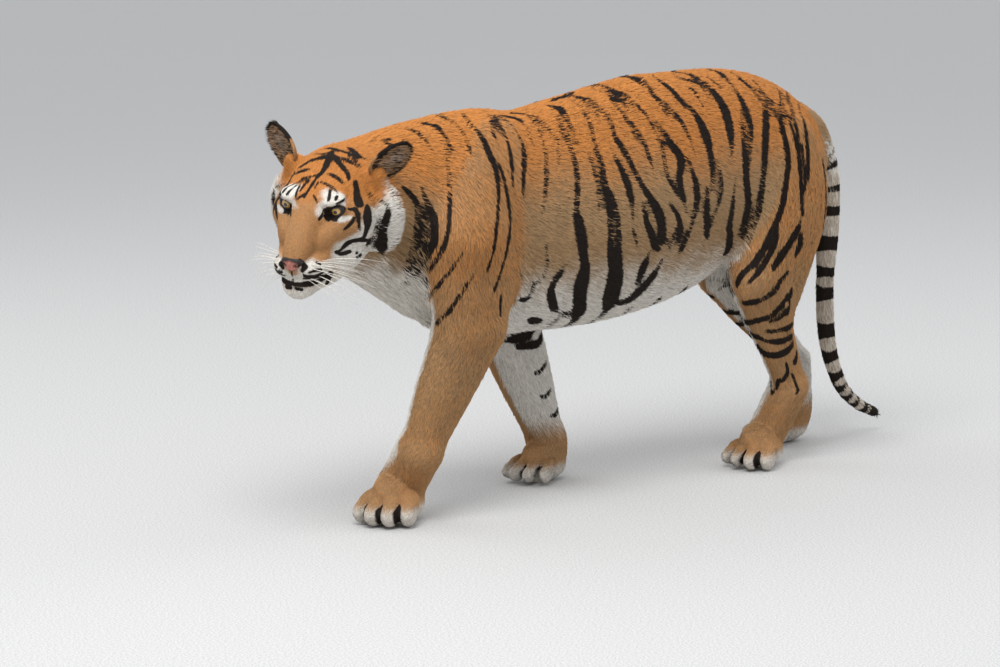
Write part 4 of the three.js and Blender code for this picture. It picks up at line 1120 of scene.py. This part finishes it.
def coat_colour():
    """The coat's colour from its values: mark (millimetres to a dark mark's edge), pale, tone,
    along (0 at a tuft's root, 1 at its tip) and chance (one number a tuft)."""
    tree = bpy.data.node_groups.new("coat colour", "ShaderNodeTree")
    for name in COAT_VALUES:
        tree.interface.new_socket(name=name, in_out="INPUT", socket_type="NodeSocketFloat")
    tree.interface.new_socket(name="colour", in_out="OUTPUT", socket_type="NodeSocketColor")
    tree.interface.new_socket(name="grain", in_out="OUTPUT", socket_type="NodeSocketFloat")
    n = Nodes(tree)
    given, out = n.add("NodeGroupInput").outputs, n.add("NodeGroupOutput").inputs
    cloud, fine = n.noise(9.0), n.noise(160.0, 4.0)
    chance = given["chance"]
    tone = n.vary(n.vary(given["tone"], cloud, 0.5), chance, 0.3)
    warm = n.blend(n.span(tone, 0, 1), TAN, ORANGE)
    pale = n.vary(given["pale"], chance, 0.24)
    colour = n.blend(n.span(pale, 0.12, 0.9), warm, WHITE)
    # painted shade between the hairs: each tuft is darker at its root than at its tip, with a random mottle
    # of tone over that
    light = n.sum("ADD", 0.70, n.sum("MULTIPLY", given["along"], 0.38))
    light = n.vary(n.vary(light, chance, 0.38), fine, 0.34)
    colour = n.blend(1.0, colour, light, "MULTIPLY")
    edge = n.vary(n.vary(given["mark"], chance, 1.0), fine, 1.4)
    dark = n.span(edge, -0.9, 1.3, 1.0, 0.0)
    brown = n.blend(n.sum("MULTIPLY", chance, 0.35), BLACK, linear(0.05, 0.028, 0.016))
    n.put(out["colour"], n.blend(dark, colour, brown))
    n.put(out["grain"], fine)
    return tree


COAT_COLOUR = coat_colour()


def plain(name, colour, rough, **settings):
    """A material with a fine mottle over its colour, so that no surface is one flat colour."""
    mat, n, shader = new_material(name)
    darker = [c * 0.72 for c in colour[:3]] + [1]
    n.put(shader.inputs["Base Color"], n.blend(n.span(n.noise(220.0), 0.3, 0.7), colour, darker))
    shader.inputs["Roughness"].default_value = rough
    for key, value in settings.items():
        shader.inputs[key.replace("_", " ")].default_value = value
    return mat


def coat_material(name, bump):
    """The coat's colour by the values on the mesh, with its grain raised by bump."""
    mat, n, shader = new_material(name)
    group = n.add("ShaderNodeGroup", node_tree=COAT_COLOUR)
    for key in COAT_VALUES:
        n.put(group.inputs[key], n.value(key))
    n.put(shader.inputs["Base Color"], group.outputs["colour"])
    n.put(shader.inputs["Roughness"], n.span(group.outputs["grain"], 0.2, 0.8, 0.6, 0.8))
    shader.inputs["Specular IOR Level"].default_value = 0.14
    if bump:
        n.bump(shader, group.outputs["grain"], bump, 0.002)
    return mat


def eye_material():
    """Amber round a small round pupil, streaked outwards, with a dark rim and, past it, painted shade
    of the lids: by the angle from the line of sight."""
    mat, n, shader = new_material("eye")
    angle, spoke = n.value("angle"), n.value("spoke")
    streak = n.add("ShaderNodeTexNoise", noise_dimensions="1D")
    n.put(streak.inputs["W"], spoke)
    streak.inputs["Scale"].default_value = 9.0
    amber = n.blend(n.span(angle, 12, 30), linear(0.62, 0.36, 0.07), linear(0.42, 0.20, 0.035))
    amber = n.blend(n.span(streak.outputs["Fac"], 0.35, 0.65, 0.0, 0.5), amber, linear(0.80, 0.56, 0.20))
    ring = n.blend(n.span(angle, 31, 37), amber, linear(0.012, 0.008, 0.006))
    # painted shade of the lids: the ball turns dark brown from 44 to 60 degrees off the line of sight
    white = n.blend(n.span(angle, 44, 60), ring, linear(0.10, 0.06, 0.045))
    pupil = n.blend(n.span(angle, 12.5, 14.5), linear(0.002, 0.002, 0.002), white)
    n.put(shader.inputs["Base Color"], pupil)
    shader.inputs["Roughness"].default_value = 0.25
    shader.inputs["Coat Weight"].default_value = 1.0
    shader.inputs["Coat Roughness"].default_value = 0.03
    return mat


# ---- skin and coat ------------------------------------------------------------------------------
P, T = surface(skin, SKIN_CELL)
P = settle(skin, P, 2)
P, T = refine(P, T, skin_size, 3)
N = normals(P, T)
parts, d = part_of(P)
way = lie(P, N, d)
# along is 0 on the skin, so it takes the full painted shade of the coat's roots
values = dict(mark=marks(P, N, parts), pale=paleness(P, N, parts), tone=warmth(P, N, parts),
              along=np.zeros(len(P)), chance=np.full(len(P), 0.5))
fur, skin_finish = coat_material("coat", 0), coat_material("skin under the coat", 0.6)
FLESH = [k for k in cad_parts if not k.endswith(("_ear", "_eye")) and k != "nose"]
skin_piece = piece("skin", P, T, skin_finish, values)
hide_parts(*FLESH)

# The tufts' places: more of them where they are small, none on the eyes, the nose and the soles.
middle = P[T].mean(1)
long, wide = hair_size(middle, N[T].mean(1), parts[T[:, 0]])
q = in_head(middle)
slit, from_eye = eye_opening(q)
bare = (slit < 0.6) & (from_eye < 28)
bare |= np.linalg.norm((q - NOSE) / (1, 1.1, 1), axis=1) < 17
bare |= middle[:, 2] < 3
share = np.cumsum(np.where(bare, 0, areas(P, T) / (long * wide)**0.9))
pick = np.searchsorted(share, (np.arange(TUFTS) + rng.random(TUFTS)) / TUFTS * share[-1])
a, b = rng.random((2, TUFTS))
a, b = np.where(a + b > 1, 1 - a, a), np.where(a + b > 1, 1 - b, b)
bary = np.stack([1 - a - b, a, b], 1)
at = lambda v: (v[T[pick]] * bary.reshape(bary.shape + (1,) * (v.ndim - 1))).sum(1)
root, root_normal, root_way, root_part = at(P), unit(at(N)), at(way), parts[T[pick, 0]]
root_way = unit(root_way - root_normal * (root_way * root_normal).sum(1)[:, None])
long, wide = hair_size(root, root_normal, root_part)
long, wide = long * rng.uniform(0.75, 1.25, TUFTS), wide * rng.uniform(0.75, 1.3, TUFTS)

# The tufts swing a little out of the lie, each by itself and in slow waves, and rise in clumps.
swing = rng.normal(0, 9, TUFTS) + 7 * np.sin(root @ [0.03, 0.05, 0.04])
swing = np.radians(swing + 5 * np.sin(root @ [-0.09, 0.06, 0.1]))
root_way = root_way * np.cos(swing)[:, None] + np.cross(root_normal, root_way) * np.sin(swing)[:, None]
clump = 0.5 + 0.5 * np.sin(root @ [0.21, 0.13, -0.17]) * np.sin(root @ [-0.15, 0.19, 0.23])
high = coat_depth(root) * (0.35 + 0.5 * clump * rng.random(TUFTS)) * np.clip(long / 20, 0.5, 1.0)
high = np.clip(high - skin(root + root_way * long[:, None]), -long * 0.5, long * 0.45)

# A mark's edge may cross a tuft, so the marks are taken near both of its ends.
near_end, far_end = (root + root_way * (part_way * long)[:, None] for part_way in (0.05, 0.85))
coat = dict(pale=paleness(near_end, root_normal, root_part), tone=warmth(near_end, root_normal, root_part))
mark_near, mark_far = (marks(end, root_normal, root_part) for end in (near_end, far_end))
mark_middle = 0.65 * mark_near + 0.35 * mark_far
coat_points, coat_normals = tufts(root, root_normal, root_way, long, wide, high)
place = unroll(root, root_part)
order = np.lexsort((root[:, 1], root_part))
for k, start in enumerate(range(0, TUFTS, PER_PIECE)):
    ids = order[start:start + PER_PIECE]
    v = (ids[:, None] * 4 + np.arange(4)).ravel()
    value = {key: np.repeat(x[ids], 4) for key, x in coat.items()}
    value["mark"] = np.stack([mark_near[ids], mark_near[ids], mark_middle[ids], mark_far[ids]], 1).ravel()
    value["along"] = np.tile(TUFT_ALONG, len(ids))
    value["chance"] = np.repeat(rng.random(len(ids)), 4)
    piece("coat_%d" % (k + 1), coat_points[v], tuft_faces(len(ids)), fur, value,
                  coat_normals[v], tuft_uv(place[ids]))


# ---- ears ---------------------------------------------------------------------------------------
def ear(name, s):
    """A cup: its back is half an oval, its front a shallower one, both functions of the distance r
    from the middle and the angle t round it. Depth is depth (1 - r^2)^power."""
    flip = np.array([1, s, 1])
    start, tip = EAR_ROOT * flip, EAR_TIP * flip
    A = unit(tip - start)
    F = unit(EAR_FACE[s] - (EAR_FACE[s] @ A) * A)
    S = np.cross(A, F)
    mid = start + A * 34
    r, t = np.meshgrid(np.linspace(0, 1, 22)**0.8, np.arange(64) * 2 * np.pi / 64, indexing="ij")
    up, across = EAR_HIGH * r * np.cos(t), EAR_WIDE * r * np.sin(t) * (1 - 0.27 * r * np.cos(t))
    sheets = []
    for depth, power in ((-17.0, 0.5), (-12.5, 0.9)):
        f = depth * (1 - r * r)**power + 2.0
        sheets.append(mid + A * up[..., None] + S * across[..., None] + F * f[..., None])
    back, front = from_head(np.stack(sheets)).reshape(2, -1, 3)
    front[-64:] = back[-64:]
    tri = wrapped(22, 64)
    EP, ET = closed(np.vstack([back, front]), np.vstack([tri[:, ::-1], tri + len(back)]))
    EN = normals(EP, ET)

    # the cup's own colours: dark behind with a white spot, pale inside
    q = in_head(EP) - mid
    up, across = q @ A, q @ S
    r = np.hypot(up / EAR_HIGH, across / (EAR_WIDE - 1))
    inside = (EN @ HEAD @ F > 0) & (r < 0.97)
    spot = np.hypot((up - 16) / 22, across / 17)
    mark = np.where(inside, 0.6 - 8 * step(r, 0.75, 0.95), np.where(spot < 1, 8 * (1 - spot) - 0.5, -6))
    mark = mark + 12 * step(-up, 2, 22) * ~inside
    pale = np.where(inside, 0.25 + 0.2 * step(-r, -0.7, 0), np.where(spot < 1, 1, 0.1))
    same = lambda v: np.full(len(EP), v)
    # along is 0 on the cup, so it takes the full painted shade of the coat's roots
    value = dict(mark=mark, pale=pale, tone=same(0.45), along=same(0.0), chance=same(0.5))
    ob = piece(name + "_ear_cup", EP, ET, skin_finish, value)
    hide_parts(name + "_ear")

    # hair: short behind and on the edge, long and pale inside from the inner edge across
    count = EAR_TUFTS
    share = np.cumsum(2 * areas(EP, ET) * np.where(inside[ET[:, 0]], 1.0, 1.3))
    pick = np.searchsorted(share, rng.random(count) * share[-1])
    b = rng.dirichlet([1, 1, 1], count)
    at = lambda v: (v[ET[pick]] * b.reshape(b.shape + (1,) * (v.ndim - 1))).sum(1)
    root, root_normal, within = at(EP), unit(at(EN)), inside[ET[pick, 0]]
    to_tip = np.broadcast_to(HEAD @ A, root.shape)
    outward = HEAD @ (S * np.sign(S @ [0, s, 0.0]))
    way = np.where(within[:, None], to_tip * 0.75 + outward * 0.8, to_tip)
    way = unit(way - root_normal * (way * root_normal).sum(1)[:, None] + 1e-6)
    long = np.where(within, rng.uniform(14, 32, count) * (1 - 0.55 * at(r)), rng.uniform(6, 10, count))
    high = np.where(within, long * 0.35, 1.2)
    HP, HN = tufts(root, root_normal, way, long, rng.uniform(1.3, 2.2, count), high)
    stray = np.where(within, rng.choice([-3, 3], count, p=[0.45, 0.55]), 0)
    value = dict(mark=np.repeat(at(mark) + stray, 4), pale=np.repeat(at(pale), 4), tone=np.full(len(HP), 0.4),
                 along=np.tile(TUFT_ALONG, count), chance=np.repeat(rng.random(count), 4))
    u, v = ((root - root.mean(0)) @ (HEAD @ axis) / 900 for axis in (S, A))
    uv = tuft_uv(np.stack([0.25 + 0.5 * (s > 0) + u, 0.55 + v], 1))
    piece(name + "_ear_hair", HP, tuft_faces(count), fur, value, HN, uv)


ear("left", 1)
ear("right", -1)


# ---- eyes, lids and nose ------------------------------------------------------------------------
def eyeball(name, s):
    """A ball whose clear front bulges a little: radius 17.6 + 1.5 (1 - (angle / 38)^2) there."""
    centre = EYE * (1, s, 1)
    gaze = unit(np.array([1, 0.07 * s, -0.02]))
    U = unit(np.cross([0, 0, 1], gaze))
    V = np.cross(gaze, U)
    t, w = np.meshgrid(np.linspace(0, np.pi, 60), np.arange(64) * 2 * np.pi / 64, indexing="ij")
    r = EYE_RADIUS + 1.5 * np.clip(1 - (np.degrees(t) / 38)**2, 0, 1)
    ahead, side, up = (x[..., None] for x in (np.cos(t), np.sin(t) * np.cos(w), np.sin(t) * np.sin(w)))
    p = centre + r[..., None] * (gaze * ahead + U * side + V * up)
    BP, BT = closed(from_head(p.reshape(-1, 3)), wrapped(60, 64))
    v = in_head(BP) - centre
    angle = np.degrees(np.arccos(np.clip(unit(v) @ gaze, -1, 1)))
    ob = piece(name + "_eyeball", BP, BT, EYE_FINISH, dict(angle=angle, spoke=np.arctan2(v @ V, v @ U)))
    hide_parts(name + "_eye")

    # the bare dark edge of the lids: a tube on the rim of the opening
    w = np.linspace(0, 2 * np.pi, 73)[:-1]
    a = EYE_WIDE * np.cos(w)
    e = np.where(np.sin(w) > 0, EYE_ABOVE, EYE_BELOW) * np.sin(w)
    e = e + np.tan(np.radians(EYE_SLANT)) * (a + EYE_TURN)
    a, e = np.radians(a + EYE_TURN), np.radians(e)
    line = EYE + LID_RADIUS * np.stack([np.cos(e) * np.cos(a), np.cos(e) * np.sin(a), np.sin(e)], 1)
    line = from_head(np.vstack([line, line[:1]]) * (1, s, 1))
    piece(name + "_lids", *tube(line, np.full(73, 2.3), 8), LID_FINISH)


EYE_FINISH, LID_FINISH = eye_material(), plain("lid rims", linear(0.014, 0.010, 0.009), 0.38)
for name, s in (("left", 1), ("right", -1)):
    eyeball(name, s)


def nose_leather():
    """A rounded block, |f/13|^p + |l/w|^p + |u/16|^p = 1 with p = 2.6 and its width w narrowing
    downwards, with a groove down its middle and a comma-shaped nostril pressed in on each side."""
    t, w = np.meshgrid(np.linspace(0, np.pi, 90), np.arange(120) * 2 * np.pi / 120, indexing="ij")
    x, y, z = np.cos(t), np.sin(t) * np.cos(w), np.sin(t) * np.sin(w)
    k = (np.abs(x)**2.6 + np.abs(y)**2.6 + np.abs(z)**2.6)**(-1 / 2.6)
    x, y, z = x * k, y * k, z * k
    width = 25 * (0.58 + 0.42 * step(z, -0.9, 0.3))
    f, l, u = 13 * x - 3 * y * y - 2.5 * z * np.abs(z), width * y, 16 * z
    dent = lambda a, b, ra, rb: np.exp(-((np.abs(l) - a) / ra)**2 - ((u - b) / rb)**2)
    slit = dent(12.5, -2, 3.8, 3.8) + 0.8 * dent(18, 0.5, 3.6, 2.4)
    f = f - 8 * np.clip(slit, 0, 1) * (x > 0) - 1.6 * np.exp(-(l / 1.2)**2) * (x > 0) * step(-u, -6, 4)
    p = NOSE + np.stack([f, l, u], -1)
    NP, NT = closed(from_head(p.reshape(-1, 3)), wrapped(90, 120))
    _, l, u = (on_left(in_head(NP) - NOSE)).T
    edge = np.maximum(np.exp(-((l - 13) / 5)**2 - ((u + 1.5) / 5)**2), step(-u, 10, 15))
    edge = np.maximum(edge, step(u + 0.3 * l, 5, 13))
    edge = np.maximum(edge, step(l, 13, 18))
    ob = piece("nose_leather", NP, NT, NOSE_FINISH, dict(edge=edge))
    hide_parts("nose")


def nose_material():
    """Pink, dark round the edge and the nostrils, with fine cells raised on it."""
    mat = plain("nose leather", linear(0.50, 0.19, 0.15), 0.5, Specular_IOR_Level=0.3)
    n, shader = Nodes(mat.node_tree), mat.node_tree.nodes["Principled BSDF"]
    pink = shader.inputs["Base Color"].links[0].from_socket
    cells = n.add("ShaderNodeTexVoronoi")
    n.put(cells.inputs["Vector"], n.add("ShaderNodeTexCoord").outputs["Object"])
    cells.inputs["Scale"].default_value = 520.0
    n.put(shader.inputs["Base Color"], n.blend(n.value("edge"), pink, linear(0.02, 0.013, 0.012)))
    n.bump(shader, cells.outputs["Distance"], 0.35, 0.0006)
    return mat


NOSE_FINISH = nose_material()
nose_leather()


def whiskers():
    """Tapered bent tubes in four rows on each pad: each starts square to the pad and bends back, as
    root + long (out t + 0.62 (back - out) t^2)."""
    out = []
    box_low, box_high = (np.array(v) * 1000 + ORIGIN for v in (cad_low, cad_high))
    for s in (1, -1):
        for row in range(4):
            for k in range(4):
                root = np.array([84 - 12 * k, 37 + 6.0 * k - 2 * row, -92 - 9.5 * row])
                hit = settle(skin, from_head(root * (1, s, 1))[None], 3)[0]
                outwards = np.array([0.10 - 0.10 * k, 1, 0.16 - 0.22 * row + rng.normal(0, 0.04)])
                backwards = np.array([-0.9, 0.75, -0.5 - 0.18 * row])
                out_way, back_way = (unit(v * (1, s, 1)) @ HEAD.T for v in (outwards, backwards))
                long = rng.uniform(110, 165) - 12 * abs(k - 2)
                t = np.linspace(0, 1, 12)[:, None]
                line = hit - 3 * out_way + long * (out_way * t + (back_way - out_way) * t**2 * 0.62)
                line = np.clip(line, box_low + 2.5, box_high - 2.5)
                out.append(tube(line, 0.9 - 0.75 * t[:, 0], 6))
    piece("whiskers", *gather(out), WHISKER_FINISH)


WHISKER_FINISH = plain("whiskers", linear(0.85, 0.80, 0.72), 0.35)
whiskers()


# ---- floor, light and camera --------------------------------------------------------------------
LIGHTS = [((1.6, -2.6, 4.6), 3.0, 185), ((-3.5, -1.0, 3.2), 3.5, 30), ((0.8, 4.0, 3.6), 4.0, 45)]
VIEW_TURN, VIEW_RISE, VIEW_AWAY, VIEW_LENS = 48, 9, 9.0, 144.2  # degrees, degrees, metres, mm
VIEW_AIM = np.array([50.0, 70, 390])


def studio():
    """A pale floor that runs out of sight, a large soft light from above and in front, a weaker one
    on the far side, and a light grey world."""
    scene = bpy.context.scene
    me = bpy.data.meshes.new("floor")
    me.from_pydata([(-30, -30, 0), (30, -30, 0), (30, 30, 0), (-30, 30, 0)], [], [(0, 1, 2, 3)])
    me.materials.append(plain("floor", linear(0.64, 0.635, 0.62), 0.85))
    floor = bpy.data.objects.new("floor", me)
    scene.collection.objects.link(floor)
    floor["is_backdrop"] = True
    for place, size, power in LIGHTS:
        light = bpy.data.lights.new("soft light", "AREA")
        light.shape, light.size, light.energy = "DISK", size, power
        ob = bpy.data.objects.new("soft light", light)
        ob.location = place
        ob.rotation_euler = (Vector((0, 0, 0.45)) - Vector(place)).to_track_quat("-Z", "Y").to_euler()
        scene.collection.objects.link(ob)
        ob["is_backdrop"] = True
    world = bpy.data.worlds.new("studio")
    world.use_nodes = True
    sky = world.node_tree.nodes["Background"].inputs
    sky["Color"].default_value = (0.86, 0.88, 0.92, 1)
    sky["Strength"].default_value = 0.92
    scene.world = world
    scene.view_settings.view_transform = "Standard"


def camera():
    """The view: from the animal's left front quarter, a little above its eyes, from nine metres."""
    turn, rise = np.radians([VIEW_TURN, VIEW_RISE])
    aim = VIEW_AIM / 1000 - ORIGIN / 1000
    back = np.array([np.sin(turn) * np.cos(rise), -np.cos(turn) * np.cos(rise), np.sin(rise)])
    data = bpy.data.cameras.new("view")
    data.sensor_fit, data.sensor_width, data.lens, data.clip_end = "HORIZONTAL", 36, VIEW_LENS, 200
    ob = bpy.data.objects.new("view", data)
    ob.location = aim + back * VIEW_AWAY
    ob.rotation_euler = Vector(-back).to_track_quat("-Z", "Y").to_euler()
    bpy.context.scene.collection.objects.link(ob)
    bpy.context.scene.camera = ob


studio()
camera()
low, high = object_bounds()
